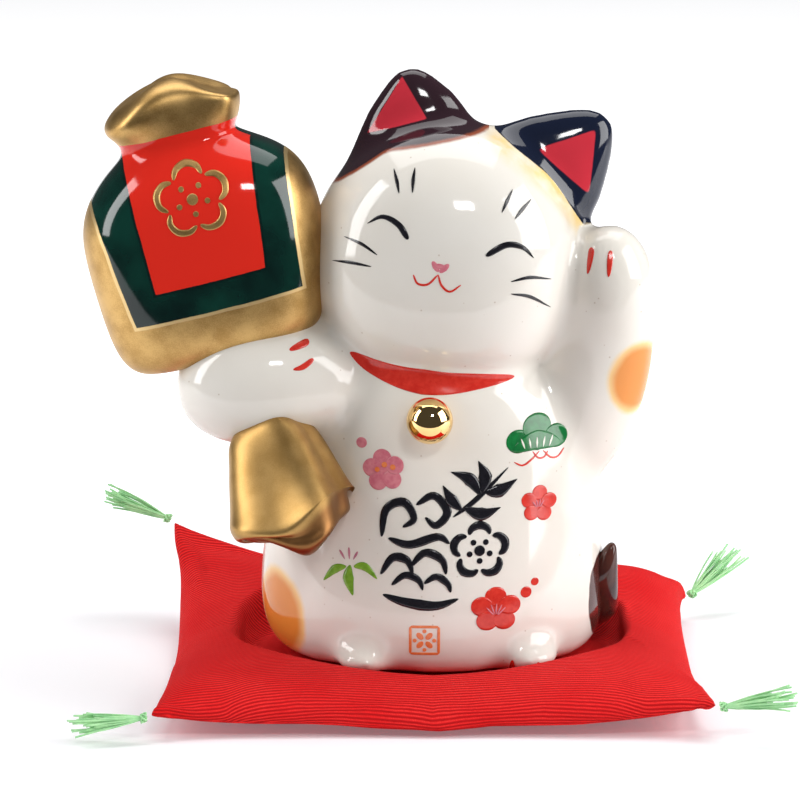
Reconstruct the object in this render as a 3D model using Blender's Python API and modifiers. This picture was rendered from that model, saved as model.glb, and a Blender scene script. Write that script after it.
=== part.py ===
"""Ceramic beckoning cat that carries a lucky mallet and sits on a tasselled cushion.

Millimetres in the tables below, metres in the model, +Z up. The origin is the centre of
the cushion's underside, the cat faces -Y, and +X is on the viewer's right.
"""

import math

import bmesh
import bpy
from mathutils import Euler, Matrix, Vector

MM = 0.001                      # metres in a millimetre

# ---- driving dimensions, millimetres -------------------------------------------------
GAP = 0.3                       # clearance between neighbouring pieces
WALL = 3.0                      # thickness of the slip-cast ceramic
DRAIN_RADIUS = 4.0              # pour hole in the cat's base
NECK_HOLLOW = (0.5, -2.5, 72.0, 11.0, 10.0)     # station that joins the two hollows
SKULL_SHARE = 0.86              # height of the head's hollow, as a share of the head's

SEAT_HEIGHT = 5.6               # cushion surface under the cat
BASE_HEIGHT = SEAT_HEIGHT + GAP
BASE_BORDER = 7.0               # flat ring that the cat stands on

HEAD_CENTRE = (2.5, -4.0, 81.5)
HEAD_TILT = 12.0                # degrees, towards the viewer's right

DRUM_CENTRE = (-41.7, -6.0, 83.0)
DRUM_TILT = 14.0                # degrees, top towards the viewer's left
DRUM_MOUTH = (6.0, 0.0, -26.0, 5.0, 4.0)        # stations in the drum's frame: the hollow
DRUM_HOLLOW_TOP = (0.4, 0.0, 14.0, 9.0, 7.0)    # opens into the arm, and ends at the neck
FOOT_CENTRE = (-26.8, -20.0, 41.2)
FOOT_TILT = 18.0
FOOT_FORWARD = 24.0             # degrees, the skirt's mouth comes forward

BELL_RADIUS = 4.2
BELL_CENTRE = (-0.6, -24.2, 53.0)               # its back sits in a shallow cup
STEM_RADIUS = 1.2
STEM_LENGTH = 2.0

CUSHION_HALF_WIDTH = 50.0
CUSHION_HALF_DEPTH = 46.5
CUSHION_CELLS = 14              # cells along each side of a panel
CROWN_FRONT = 8.2               # height of the border at the middle of the front
CROWN_BACK = 15.5
CORNER_RISE = 3.0               # extra height towards the corners
SEAM_MIDDLE = 4.0               # seam height at the middle of a side
FLAT_REACH = 0.72               # share of the underside that lies flat
SIDE_PULL = 0.015               # how far the sides draw in between the corners
PANEL = 0.6                     # thickness of the cloth, measured upright
SEAM_HALF = PANEL + GAP / 2.0
LINING = PANEL + 1.5 * GAP      # from a panel's outer face to the wadding, upright
DENT_HALF_WIDTH = 33.0          # flat seat under the cat
DENT_HALF_DEPTH = 29.0
DENT_RIM = 0.32                 # width of the slope round it, as a share of its radii

UNDERSIDE_CURVE = 1.6           # power of the curve from the flat underside to the seam
PLUMPNESS = 6                   # power of the profile across the top: more is boxier
CORNER_FILL = 0.5               # share of a corner's lift that the filling follows

KNOT_RADIUS = 1.1
# Stations along a tassel: distance beyond the knot, half width, half depth.
TASSEL = (
    (-0.88, 0.55, 0.55),
    (0.0, 1.1, 1.1),
    (1.1, 0.77, 0.77),
    (7.8, 1.5, 1.2),
    (13.0, 1.95, 1.2),
)

# Facets round each form before it is rounded, and of each ball round and from end to end.
BODY_SIDES = 16
LIMB_SIDES = 12
SKIRT_SIDES = 15
TAIL_SIDES = 10
TASSEL_SIDES = 8
BORE_SIDES = 20
STEM_SIDES = 16
PAW_FACETS = (14, 8)
BELL_FACETS = (20, 12)

# How square a section is: 2 is an ellipse.
HEAD_POWER = 2.2
DRUM_POWER = 2.8

# Each station is (x, y, z, half width, half depth) of one rounded section.
TORSO = (
    (0.0, 0.0, BASE_HEIGHT, 27.0, 23.5),
    (0.0, 0.0, 9.0, 30.5, 26.0),
    (0.2, 0.0, 16.0, 32.0, 27.0),
    (0.2, 0.0, 25.0, 31.3, 26.0),
    (0.4, 0.0, 35.0, 30.2, 23.6),
    (0.4, 0.0, 44.0, 30.0, 21.8),
    (0.0, -0.5, 52.0, 27.5, 20.5),
    (-0.5, -1.0, 58.0, 22.5, 19.5),
    (-0.6, -1.2, 64.0, 16.5, 16.0),
    (0.0, -2.0, 73.0, 13.0, 12.5),
)

# The head's own frame: the origin is its centre, and z runs up between the ears.
HEAD = (
    (0.0, 0.0, -24.0, 8.0, 7.0),
    (0.0, 0.0, -22.0, 15.5, 13.0),
    (0.0, 0.0, -17.5, 21.0, 17.5),
    (0.0, 0.0, -10.0, 24.0, 20.3),
    (0.0, 0.0, -2.0, 24.5, 21.0),
    (0.0, 0.0, 6.0, 23.5, 20.5),
    (0.0, 0.0, 13.0, 20.0, 18.0),
    (0.0, 0.0, 19.0, 14.0, 13.0),
    (0.0, 0.0, 23.0, 6.0, 6.0),
)
EAR_LEFT = (
    (-6.5, 0.5, 9.0, 16.0, 6.0),
    (-8.2, 0.8, 15.5, 13.6, 5.6),
    (-10.0, 1.0, 21.0, 10.6, 4.6),
    (-11.6, 1.2, 25.4, 7.0, 3.6),
    (-12.8, 1.4, 28.7, 3.6, 2.4),
    (-13.2, 1.4, 30.0, 1.6, 1.3),
)
EAR_RIGHT = (
    (10.5, 0.5, 10.5, 15.5, 6.0),
    (15.0, 0.8, 16.8, 12.4, 5.6),
    (18.5, 1.0, 21.5, 8.9, 4.6),
    (21.0, 1.2, 25.2, 6.0, 3.6),
    (22.7, 1.4, 27.6, 3.4, 2.4),
    (23.4, 1.4, 28.8, 1.6, 1.3),
)

RAISED_ARM = (
    (14.0, -1.0, 36.0, 9.0, 9.0),
    (21.5, -1.5, 42.5, 10.5, 10.0),
    (26.8, -2.5, 51.0, 11.0, 9.6),
    (29.6, -4.0, 60.0, 10.6, 9.0),
    (31.2, -6.0, 68.0, 9.4, 8.4),
    (31.8, -7.5, 75.0, 8.8, 8.6),
    (31.3, -8.5, 81.0, 7.6, 7.4),
    (31.0, -9.0, 86.0, 3.6, 3.6),
)
HOLDING_ARM = (
    (-4.0, 0.0, 50.0, 8.0, 8.0),
    (-13.0, -4.0, 54.0, 10.0, 10.5),
    (-21.0, -9.0, 58.0, 11.0, 11.0),
    (-29.0, -12.0, 58.6, 12.0, 11.5),
    (-36.5, -12.5, 57.4, 11.4, 10.8),
    (-42.5, -12.0, 56.2, 8.4, 8.0),
    (-46.0, -11.5, 55.6, 3.6, 3.6),
)
PAWS = ((-12.0, -20.6, 9.0), (17.0, -18.8, 9.0))       # the two sitting feet
PAW_RADII = (6.2, 6.8, 3.0)

TAIL = (
    (14.0, 24.5, 13.4, 2.6, 2.6),
    (22.5, 19.0, 12.8, 3.8, 3.8),
    (28.2, 11.5, 12.2, 4.2, 4.2),
    (30.4, 3.5, 12.6, 4.4, 4.2),
    (30.4, -2.5, 15.2, 4.0, 3.8),
    (31.2, -4.8, 20.0, 3.0, 3.0),
    (32.4, -5.2, 24.0, 1.7, 1.7),
    (33.2, -5.2, 26.6, 0.7, 0.7),
)

# The mallet's own frames: z runs along its handle.
DRUM = (
    (-0.7, 0.0, -21.2, 12.0, 8.0),
    (-0.7, 0.0, -20.6, 16.8, 12.0),
    (-0.8, 0.0, -17.5, 19.6, 14.5),
    (-0.2, 0.0, -9.0, 20.9, 15.6),
    (0.6, 0.0, 0.0, 21.9, 16.0),
    (0.6, 0.0, 7.0, 21.4, 15.4),
    (0.4, 0.0, 12.0, 18.8, 13.6),
    (0.4, 0.0, 15.6, 14.4, 10.8),
    (0.4, 0.0, 17.8, 10.8, 8.6),
    (0.4, 0.0, 19.4, 10.4, 8.2),
    (0.6, 0.0, 21.6, 12.6, 9.2),
    (0.8, 0.0, 23.6, 12.8, 9.2),
    (1.4, 0.0, 26.2, 8.2, 6.2),
    (1.6, 0.0, 28.8, 3.0, 2.8),
)
FOOT = (
    (0.0, 0.0, -9.6, 5.0, 5.0),
    (0.0, 0.0, -9.4, 8.6, 8.6),
    (0.0, 0.0, -7.6, 10.4, 10.4),
    (0.0, 0.0, -6.2, 12.4, 12.4),
    (0.0, 0.0, -3.6, 12.0, 12.0),
    (0.0, 0.0, 1.0, 9.6, 9.6),
    (0.0, 0.0, 6.0, 8.2, 8.2),
    (0.0, 0.0, 10.0, 7.0, 7.0),
    (0.0, 0.0, 12.2, 4.0, 4.0),
)
FOOT_RIDGES = 5
FOOT_RIDGE_DEPTH = 0.13
FOOT_RIDGE_TURN = math.radians(20.0)

# Corner signs, seam height there, and the tassel's heading and pitch in degrees.
CORNERS = {
    "front_left": (-1, -1, 4.4, 186.0, -4.0),
    "front_right": (1, -1, 6.4, -8.0, 10.0),
    "back_left": (-1, 1, 19.5, 172.0, 20.0),
    "back_right": (1, 1, 4.4, 40.0, 32.0),
}

for old in list(bpy.data.objects):
    bpy.data.objects.remove(old, do_unlink=True)

parts = bpy.data.collections.new("ceramic_cat_figurine")
cutters = bpy.data.collections.new("cutters")
bpy.context.scene.collection.children.link(parts)
bpy.context.scene.collection.children.link(cutters)


def material(name, colour, roughness, metallic=0.0):
    """Principled material in one plain colour."""
    made = bpy.data.materials.new(name)
    made.use_nodes = True
    shader = made.node_tree.nodes["Principled BSDF"]
    shader.inputs["Base Color"].default_value = (*colour, 1.0)
    shader.inputs["Roughness"].default_value = roughness
    shader.inputs["Metallic"].default_value = metallic
    return made


GLAZE_WHITE = material("white_glaze", (0.83, 0.80, 0.76), 0.08)
GLAZE_BROWN = material("dark_brown_glaze", (0.035, 0.015, 0.015), 0.08)
GLAZE_GREEN = material("green_and_gold_glaze", (0.01, 0.08, 0.05), 0.1)
GOLD_LUSTRE = material("satin_gold_lustre", (0.62, 0.42, 0.16), 0.32, 1.0)
GOLD_BRIGHT = material("bright_gold_lustre", (0.9, 0.62, 0.25), 0.05, 1.0)
RED_CLOTH = material("red_ribbed_cloth", (0.62, 0.02, 0.025), 0.85)
WADDING = material("cotton_wadding", (0.8, 0.78, 0.74), 0.95)
GREEN_THREAD = material("pale_green_thread", (0.4, 0.78, 0.42), 0.7)


def keep(name, mesh, finish, collection=parts):
    """New object from a mesh, as a part or as a cutter."""
    made = bpy.data.objects.new(name, mesh)
    collection.objects.link(made)
    if finish:
        mesh.materials.append(finish)
    if collection is cutters:
        made.hide_render = True
        made.display_type = "WIRE"
    return made


def finish_mesh(bm, name, smooth=True):
    """Mesh data from a bmesh in millimetres, scaled to metres."""
    bmesh.ops.scale(bm, vec=(MM, MM, MM), verts=bm.verts)
    mesh = bpy.data.meshes.new(name)
    bm.to_mesh(mesh)
    bm.free()
    if smooth:
        mesh.shade_smooth()
    return mesh


def leaning(centre, tilt, forward=0.0):
    """Frame at a centre whose top leans right by tilt and back by forward, degrees."""
    turn = Matrix.Rotation(math.radians(tilt), 4, "Y")
    pitch = Matrix.Rotation(math.radians(-forward), 4, "X")
    return Matrix.Translation(centre) @ turn @ pitch


def loft(stations, sides, frame=Matrix(), grow=0.0, power=2.0, ripple=None, flat=0.0):
    """Closed bmesh cage through rounded sections that stand square to their path.

    A subdivided cage draws in, so each section is first widened by the same share.
    grow adds to every half size, power makes the sections squarer, and ripple swells a
    section by its angle and number. flat is the width of the border that keeps the
    first end flat.
    """
    widen = 3.0 / (2.0 + math.cos(math.tau / sides))
    centres = [Vector(station[:3]) for station in stations]
    bm = bmesh.new()
    rings = []
    for index, station in enumerate(stations):
        ahead = centres[min(index + 1, len(centres) - 1)]
        behind = centres[max(index - 1, 0)]
        along = (ahead - behind).normalized()
        side = Vector((0.0, 1.0, 0.0)).cross(along).normalized()
        depth = along.cross(side)
        ring = []
        for step in range(sides):
            angle = math.tau * step / sides
            across = math.copysign(abs(math.cos(angle)) ** (2.0 / power), math.cos(angle))
            inward = math.copysign(abs(math.sin(angle)) ** (2.0 / power), math.sin(angle))
            gain = widen * (ripple(angle, index) if ripple else 1.0)
            offset = side * across * (station[3] * gain + grow)
            offset += depth * inward * (station[4] * gain + grow)
            ring.append(bm.verts.new(frame @ (centres[index] + offset)))
        rings.append(ring)
    for lower, upper in zip(rings, rings[1:]):
        for step in range(sides):
            after = (step + 1) % sides
            bm.faces.new((lower[step], lower[after], upper[after], upper[step]))
    base = bm.faces.new(rings[0][::-1])
    bm.faces.new(rings[-1])
    if flat:
        bmesh.ops.inset_individual(bm, faces=[base], thickness=flat)
    return bm


def subdivide(piece, levels=1):
    """Subdivision Surface with the same level in every view."""
    surface = piece.modifiers.new("rounding", "SUBSURF")
    surface.levels = levels
    surface.render_levels = levels


def combine(piece, operation, tool):
    """Exact Boolean of a piece with a tool object."""
    cut = piece.modifiers.new(operation.lower() + "_" + tool.name, "BOOLEAN")
    cut.operation = operation
    cut.solver = "EXACT"
    cut.object = tool


def cutter_loft(name, *settings, **options):
    """Lofted form kept as a cutter."""
    tool = keep(name, finish_mesh(loft(*settings, **options), name), None, cutters)
    subdivide(tool)
    return tool


def cylinder(name, start, end, radius, sides, finish=None, collection=cutters):
    """Straight round bar between two points."""
    start, end = Vector(start), Vector(end)
    bm = bmesh.new()
    turn = (end - start).to_track_quat("Z", "Y").to_matrix().to_4x4()
    place = Matrix.Translation((start + end) / 2.0) @ turn
    bmesh.ops.create_cone(
        bm, cap_ends=True, segments=sides, radius1=radius, radius2=radius,
        depth=(end - start).length, matrix=place,
    )
    return keep(name, finish_mesh(bm, name, smooth=False), finish, collection)


def ball(name, centre, radii, facets, finish=None, collection=cutters):
    """Ellipsoid on its own axes."""
    bm = bmesh.new()
    bmesh.ops.create_uvsphere(bm, u_segments=facets[0], v_segments=facets[1], radius=1.0)
    bmesh.ops.scale(bm, vec=radii, verts=bm.verts)
    bmesh.ops.translate(bm, vec=centre, verts=bm.verts)
    return keep(name, finish_mesh(bm, name), finish, collection)


# ---- cat: one hollow slip casting ----------------------------------------------------
head_frame = leaning(HEAD_CENTRE, HEAD_TILT)

torso_cage = loft(TORSO, BODY_SIDES, flat=BASE_BORDER)
cat_body = keep("cat_body", finish_mesh(torso_cage, "cat_body"), GLAZE_WHITE)
subdivide(cat_body)
luted_on = [
    cutter_loft("head", HEAD, BODY_SIDES, frame=head_frame, power=HEAD_POWER),
    cutter_loft("ear_left", EAR_LEFT, LIMB_SIDES, frame=head_frame),
    cutter_loft("ear_right", EAR_RIGHT, LIMB_SIDES, frame=head_frame),
    cutter_loft("raised_arm", RAISED_ARM, LIMB_SIDES),
    cutter_loft("holding_arm", HOLDING_ARM, LIMB_SIDES),
]
for number, centre in enumerate(PAWS):
    luted_on.append(ball(f"sitting_paw_{number}", centre, PAW_RADII, PAW_FACETS))
for piece in luted_on:
    combine(cat_body, "UNION", piece)

# The wall is left between the outer forms and the same forms drawn in.
hollow = [(x, y, max(z, BASE_HEIGHT + WALL), w - WALL, d - WALL) for x, y, z, w, d in TORSO[1:]]
hollow.append(NECK_HOLLOW)
combine(cat_body, "DIFFERENCE", cutter_loft("torso_hollow", hollow, LIMB_SIDES))
skull = [(x, y, z * SKULL_SHARE, w - WALL, d - WALL) for x, y, z, w, d in HEAD]
combine(cat_body, "DIFFERENCE", cutter_loft("head_hollow", skull, LIMB_SIDES, frame=head_frame))
below_base = (0.0, 0.0, BASE_HEIGHT - WALL)
above_base = (0.0, 0.0, BASE_HEIGHT + 2.0 * WALL)
drain = cylinder("drain", below_base, above_base, DRAIN_RADIUS, BORE_SIDES)
combine(cat_body, "DIFFERENCE", drain)

# ---- pieces luted to the cat ---------------------------------------------------------
torso_clear = cutter_loft("torso_clear", TORSO, BODY_SIDES, grow=GAP, flat=BASE_BORDER)
head_clear = cutter_loft(
    "head_clear", HEAD, BODY_SIDES, frame=head_frame, grow=GAP, power=HEAD_POWER
)
holding_clear = cutter_loft("holding_clear", HOLDING_ARM, LIMB_SIDES, grow=GAP)

tail = keep("tail", finish_mesh(loft(TAIL, TAIL_SIDES), "tail"), GLAZE_BROWN)
subdivide(tail)
combine(tail, "DIFFERENCE", torso_clear)

drum_frame = leaning(DRUM_CENTRE, -DRUM_TILT)
drum_cage = loft(DRUM, BODY_SIDES, frame=drum_frame, power=DRUM_POWER)
drum = keep("mallet_drum", finish_mesh(drum_cage, "mallet_drum"), GLAZE_GREEN)
subdivide(drum)
combine(drum, "DIFFERENCE", holding_clear)
combine(drum, "DIFFERENCE", head_clear)
below_neck = [(x, y, z, w - WALL, d - WALL) for x, y, z, w, d in DRUM[1:7]]
drum_hollow = [DRUM_MOUTH, *below_neck, DRUM_HOLLOW_TOP]
combine(drum, "DIFFERENCE", cutter_loft("drum_hollow", drum_hollow, LIMB_SIDES, frame=drum_frame))


def skirt_ridge(angle, index):
    """Gathers that run down the skirt and spread at its mouth."""
    spread = 1.0 - index / len(FOOT)
    return 1.0 + FOOT_RIDGE_DEPTH * spread * math.cos(FOOT_RIDGES * (angle + FOOT_RIDGE_TURN))


foot_frame = leaning(FOOT_CENTRE, -FOOT_TILT, FOOT_FORWARD)
foot_cage = loft(FOOT, SKIRT_SIDES, frame=foot_frame, ripple=skirt_ridge)
foot = keep("mallet_foot", finish_mesh(foot_cage, "mallet_foot"), GOLD_LUSTRE)
subdivide(foot)
combine(foot, "DIFFERENCE", holding_clear)
combine(foot, "DIFFERENCE", torso_clear)

# ---- bell: a moulded ball whose stem is luted into a socket in the chest -------------
bell_centre = Vector(BELL_CENTRE)
stem_end = bell_centre + Vector((0.0, BELL_RADIUS + STEM_LENGTH, 0.0))
bell = ball("bell", bell_centre, [BELL_RADIUS] * 3, BELL_FACETS, GOLD_BRIGHT, parts)
combine(bell, "UNION", cylinder("bell_stem", bell_centre, stem_end, STEM_RADIUS, STEM_SIDES))
socket_end = stem_end + Vector((0.0, GAP, 0.0))
socket = cylinder("bell_socket", bell_centre, socket_end, STEM_RADIUS + GAP, STEM_SIDES)
combine(cat_body, "DIFFERENCE", socket)
cup = ball("bell_cup", bell_centre, [BELL_RADIUS + GAP] * 3, BELL_FACETS)
combine(cat_body, "DIFFERENCE", cup)

# ---- cushion: two cloth panels round a block of wadding ------------------------------
def seam_height(u, v):
    """Height of the seam: the four corners are lifted, the middles of the sides are low."""
    corner = 0.0
    for sign_x, sign_y, height, *_ in CORNERS.values():
        corner += (1.0 + sign_x * u) * (1.0 + sign_y * v) / 4.0 * height
    return SEAM_MIDDLE + (corner - SEAM_MIDDLE) * (u * v) ** 2


def fullness(u, v):
    """0 on the seam and 1 over the filled middle."""
    return math.sqrt((1.0 - u ** PLUMPNESS) * (1.0 - v ** PLUMPNESS))


def cushion_outline(u, v):
    """Plan position on the cushion, whose sides draw in between the corners."""
    x = CUSHION_HALF_WIDTH * u * (1.0 - SIDE_PULL * (1.0 - v * v))
    y = CUSHION_HALF_DEPTH * v * (1.0 - SIDE_PULL * (1.0 - u * u))
    return x, y


def top_point(u, v, depth=0.0):
    """Point of the upper surface, or one lower by depth, with the cat's dent in it."""
    x, y = cushion_outline(u, v)
    seam = seam_height(u, v) + SEAM_HALF
    crown = CROWN_FRONT + (CROWN_BACK - CROWN_FRONT) * (v + 1.0) / 2.0
    crown += CORNER_RISE * abs(u * v)
    crown += max(seam - SEAM_MIDDLE, 0.0) * CORNER_FILL * abs(u * v)
    reach = math.hypot(x / DENT_HALF_WIDTH, y / DENT_HALF_DEPTH)
    rim = min(max((reach - 1.0) / DENT_RIM, 0.0), 1.0)
    rim = rim * rim * (3.0 - 2.0 * rim)
    filled = SEAT_HEIGHT + (crown - SEAT_HEIGHT) * rim
    return Vector((x, y, seam + (filled - seam) * fullness(u, v) - depth))


def bottom_point(u, v, depth=0.0):
    """Point of the lower surface, or one higher by depth, flat where it rests."""
    x, y = cushion_outline(u, v)
    seam = seam_height(u, v) - SEAM_HALF
    edge = max(max(abs(u), abs(v)) - FLAT_REACH, 0.0) / (1.0 - FLAT_REACH)
    return Vector((x, y, seam * edge ** UNDERSIDE_CURVE + depth))


def layer(name, cells, upper, lower, finish):
    """Closed sheet between two surfaces, each given as its function and a depth.

    All layers share one grid, so a smaller one leaves out whole cells at the border
    and keeps its distance from its neighbours everywhere.
    """
    bm = bmesh.new()
    reach = cells / CUSHION_CELLS
    bmesh.ops.create_grid(bm, x_segments=cells, y_segments=cells, size=reach)
    raised = bmesh.ops.extrude_face_region(bm, geom=bm.faces[:])["geom"]
    raised = {item for item in raised if isinstance(item, bmesh.types.BMVert)}
    for vert in bm.verts:
        surface, depth = upper if vert in raised else lower
        vert.co = surface(vert.co.x, vert.co.y, depth)
    bmesh.ops.recalc_face_normals(bm, faces=bm.faces)
    keep(name, finish_mesh(bm, name), finish)


layer("cushion_top_panel", CUSHION_CELLS, (top_point, 0.0), (top_point, PANEL), RED_CLOTH)
layer("cushion_bottom_panel", CUSHION_CELLS, (bottom_point, PANEL), (bottom_point, 0.0), RED_CLOTH)
layer("cushion_wadding", CUSHION_CELLS - 2, (top_point, LINING), (bottom_point, LINING), WADDING)

# ---- tassels: a knot at each corner with the thread ends gathered behind it ----------
def hinged(piece, hinge):
    """Piece whose origin lies on its hinge line."""
    offset = Vector(hinge) * MM
    piece.data.transform(Matrix.Translation(-offset))
    piece.location = offset


for corner, (sign_x, sign_y, height, heading, pitch) in CORNERS.items():
    outward = Vector((sign_x, sign_y, 0.0)).normalized()
    tip = Vector((sign_x * CUSHION_HALF_WIDTH, sign_y * CUSHION_HALF_DEPTH, height))
    knot = tip + outward * (KNOT_RADIUS + GAP)
    turn = Euler((0.0, math.radians(-pitch), math.radians(heading)))
    lean = turn.to_matrix() @ Vector((1.0, 0.0, 0.0))
    strands = [(*(knot + lean * beyond), width, depth) for beyond, width, depth in TASSEL]
    name = "tassel_" + corner
    tassel = keep(name, finish_mesh(loft(strands, TASSEL_SIDES), name), GREEN_THREAD)
    hinged(tassel, knot)
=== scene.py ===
"""Visual model of a ceramic beckoning cat that carries a lucky mallet on a tasselled cushion.

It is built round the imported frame: metres, +Z up, the cat faces -Y, and +X is on the
viewer's right. The pieces are drawn in millimetres.
"""

import math
import random

import bmesh
import bpy
import numpy as np
from mathutils import Euler, Matrix, Vector
from mathutils.bvhtree import BVHTree


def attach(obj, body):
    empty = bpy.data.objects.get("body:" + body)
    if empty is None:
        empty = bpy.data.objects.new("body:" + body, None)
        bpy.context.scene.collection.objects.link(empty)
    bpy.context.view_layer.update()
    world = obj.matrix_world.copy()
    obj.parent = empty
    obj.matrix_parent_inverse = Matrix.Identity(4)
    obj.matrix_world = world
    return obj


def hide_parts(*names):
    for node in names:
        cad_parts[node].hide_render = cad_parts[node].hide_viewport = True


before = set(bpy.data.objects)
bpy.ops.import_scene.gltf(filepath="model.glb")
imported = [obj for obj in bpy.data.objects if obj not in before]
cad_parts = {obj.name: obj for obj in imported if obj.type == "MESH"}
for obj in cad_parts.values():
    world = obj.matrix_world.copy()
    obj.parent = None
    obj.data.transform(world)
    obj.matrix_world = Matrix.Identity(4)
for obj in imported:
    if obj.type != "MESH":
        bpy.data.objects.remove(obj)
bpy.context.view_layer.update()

# ---- The casting ---------------------------------------------------------------------
# The cat is slip cast in white clay. The head, ears, arms and sitting feet come from
# their own moulds and are luted on while leather hard, and every joint is sponged
# smooth before the glaze goes on, so the finished wall is one skin.
MM = 0.001
BASE_HEIGHT = 5.9
BASE_BORDER = 7.0               # flat ring that it stands on
HEAD_FRAME = ((2.5, -4.0, 81.5), 12.0)

# Each station is (x, y, z, half width, half depth) of one rounded section.
TORSO = (
    (0.0, 0.0, BASE_HEIGHT, 27.0, 23.5),
    (0.0, 0.0, 9.0, 30.5, 26.0),
    (0.2, 0.0, 16.0, 32.0, 27.0),
    (0.2, 0.0, 25.0, 31.3, 26.0),
    (0.4, 0.0, 35.0, 30.2, 23.6),
    (0.4, 0.0, 44.0, 30.0, 21.8),
    (0.0, -0.5, 52.0, 27.5, 20.5),
    (-0.5, -1.0, 58.0, 22.5, 19.5),
    (-0.6, -1.2, 64.0, 16.5, 16.0),
    (0.0, -2.0, 73.0, 13.0, 12.5),
)
HEAD = (
    (0.0, 0.0, -24.0, 8.0, 7.0),
    (0.0, 0.0, -22.0, 15.5, 13.0),
    (0.0, 0.0, -17.5, 21.0, 17.5),
    (0.0, 0.0, -10.0, 24.0, 20.3),
    (0.0, 0.0, -2.0, 24.5, 21.0),
    (0.0, 0.0, 6.0, 23.5, 20.5),
    (0.0, 0.0, 13.0, 20.0, 18.0),
    (0.0, 0.0, 19.0, 14.0, 13.0),
    (0.0, 0.0, 23.0, 6.0, 6.0),
)
EAR_LEFT = (
    (-6.5, 0.5, 9.0, 16.0, 6.0),
    (-8.2, 0.8, 15.5, 13.6, 5.6),
    (-10.0, 1.0, 21.0, 10.6, 4.6),
    (-11.6, 1.2, 25.4, 7.0, 3.6),
    (-12.8, 1.4, 28.7, 3.6, 2.4),
    (-13.2, 1.4, 30.0, 1.6, 1.3),
)
EAR_RIGHT = (
    (10.5, 0.5, 10.5, 15.5, 6.0),
    (15.0, 0.8, 16.8, 12.4, 5.6),
    (18.5, 1.0, 21.5, 8.9, 4.6),
    (21.0, 1.2, 25.2, 6.0, 3.6),
    (22.7, 1.4, 27.6, 3.4, 2.4),
    (23.4, 1.4, 28.8, 1.6, 1.3),
)
RAISED_ARM = (
    (14.0, -1.0, 36.0, 9.0, 9.0),
    (21.5, -1.5, 42.5, 10.5, 10.0),
    (26.8, -2.5, 51.0, 11.0, 9.6),
    (29.6, -4.0, 60.0, 10.6, 9.0),
    (31.2, -6.0, 68.0, 9.4, 8.4),
    (31.8, -7.5, 75.0, 8.8, 8.6),
    (31.3, -8.5, 81.0, 7.6, 7.4),
    (31.0, -9.0, 86.0, 3.6, 3.6),
)
HOLDING_ARM = (
    (-4.0, 0.0, 50.0, 8.0, 8.0),
    (-13.0, -4.0, 54.0, 10.0, 10.5),
    (-21.0, -9.0, 58.0, 11.0, 11.0),
    (-29.0, -12.0, 58.6, 12.0, 11.5),
    (-36.5, -12.5, 57.4, 11.4, 10.8),
    (-42.5, -12.0, 56.2, 8.4, 8.0),
    (-46.0, -11.5, 55.6, 3.6, 3.6),
)
SITTING_PAWS = ((-12.0, -20.6, 9.0), (17.0, -18.8, 9.0))
SITTING_PAW_RADII = (6.2, 6.8, 3.0)
BODY_SIDES = 16                 # facets round each mould before it is rounded
LIMB_SIDES = 12
HEAD_SQUARENESS = 2.2           # 2 is an ellipse, and more is squarer
ROUNDING = 3                    # how many times a mould's facets are rounded off
SKIN_CELL = 0.62                # fineness of the finished skin
JOINT_REACH = 5.0               # how far from a joint the sponge works
JOINT_STROKES = 70
SMOOTH_STROKES = 5
POUR_HOLE_RADIUS = 4.0          # the slip was poured in and drained through the base
POUR_HOLE_DEPTH = 9.0


def leaning(centre, tilt, forward=0.0):
    """Frame at a centre whose top leans right by tilt and back by forward, degrees."""
    turn = Matrix.Rotation(math.radians(tilt), 4, "Y")
    pitch = Matrix.Rotation(math.radians(-forward), 4, "X")
    return Matrix.Translation(centre) @ turn @ pitch


def rounded(value, power):
    """Coordinate on a unit circle, moved out onto a squarer section of that power."""
    return math.copysign(abs(value) ** (2.0 / power), value)


def moulded(stations, sides, place=Matrix(), power=2.0, gain=None, flat=0.0):
    """Closed cage through rounded sections that stand square to their path.

    Rounding a cage draws it in, so each section is first widened by the same share.
    gain gives a section's swell and its rise along the path, by angle and number, and
    flat keeps a border of the first end level.
    """
    widen = 3.0 / (2.0 + math.cos(math.tau / sides))
    centres = [Vector(station[:3]) for station in stations]
    bm = bmesh.new()
    kept_number = bm.verts.layers.float.new("station")
    rims = []
    for number, station in enumerate(stations):
        ahead = centres[min(number + 1, len(centres) - 1)]
        behind = centres[max(number - 1, 0)]
        along = (ahead - behind).normalized()
        side = Vector((0.0, 1.0, 0.0)).cross(along).normalized()
        depth = along.cross(side)
        ring = bmesh.ops.create_circle(bm, segments=sides, radius=1.0)["verts"]
        rims.append(list({edge for vert in ring for edge in vert.link_edges}))
        for vert in ring:
            swell, rise = gain(math.atan2(vert.co.y, vert.co.x), number) if gain else (1.0, 0.0)
            across = side * rounded(vert.co.x, power) * station[3] * swell * widen
            inward = depth * rounded(vert.co.y, power) * station[4] * swell * widen
            vert.co = place @ (centres[number] + across + inward + along * rise)
            vert[kept_number] = number
    for lower, upper in zip(rims, rims[1:]):
        bmesh.ops.bridge_loops(bm, edges=lower + upper)
    base = bmesh.ops.contextual_create(bm, geom=rims[0])["faces"]
    bmesh.ops.contextual_create(bm, geom=rims[-1])
    if flat:
        bmesh.ops.inset_individual(bm, faces=base, thickness=flat)
    return bm


def settle(piece):
    """Works a piece's modifiers into its mesh."""
    graph = bpy.context.evaluated_depsgraph_get()
    worked = bpy.data.meshes.new_from_object(piece.evaluated_get(graph), depsgraph=graph)
    piece.modifiers.clear()
    piece.data = worked
    worked.shade_smooth()


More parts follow.
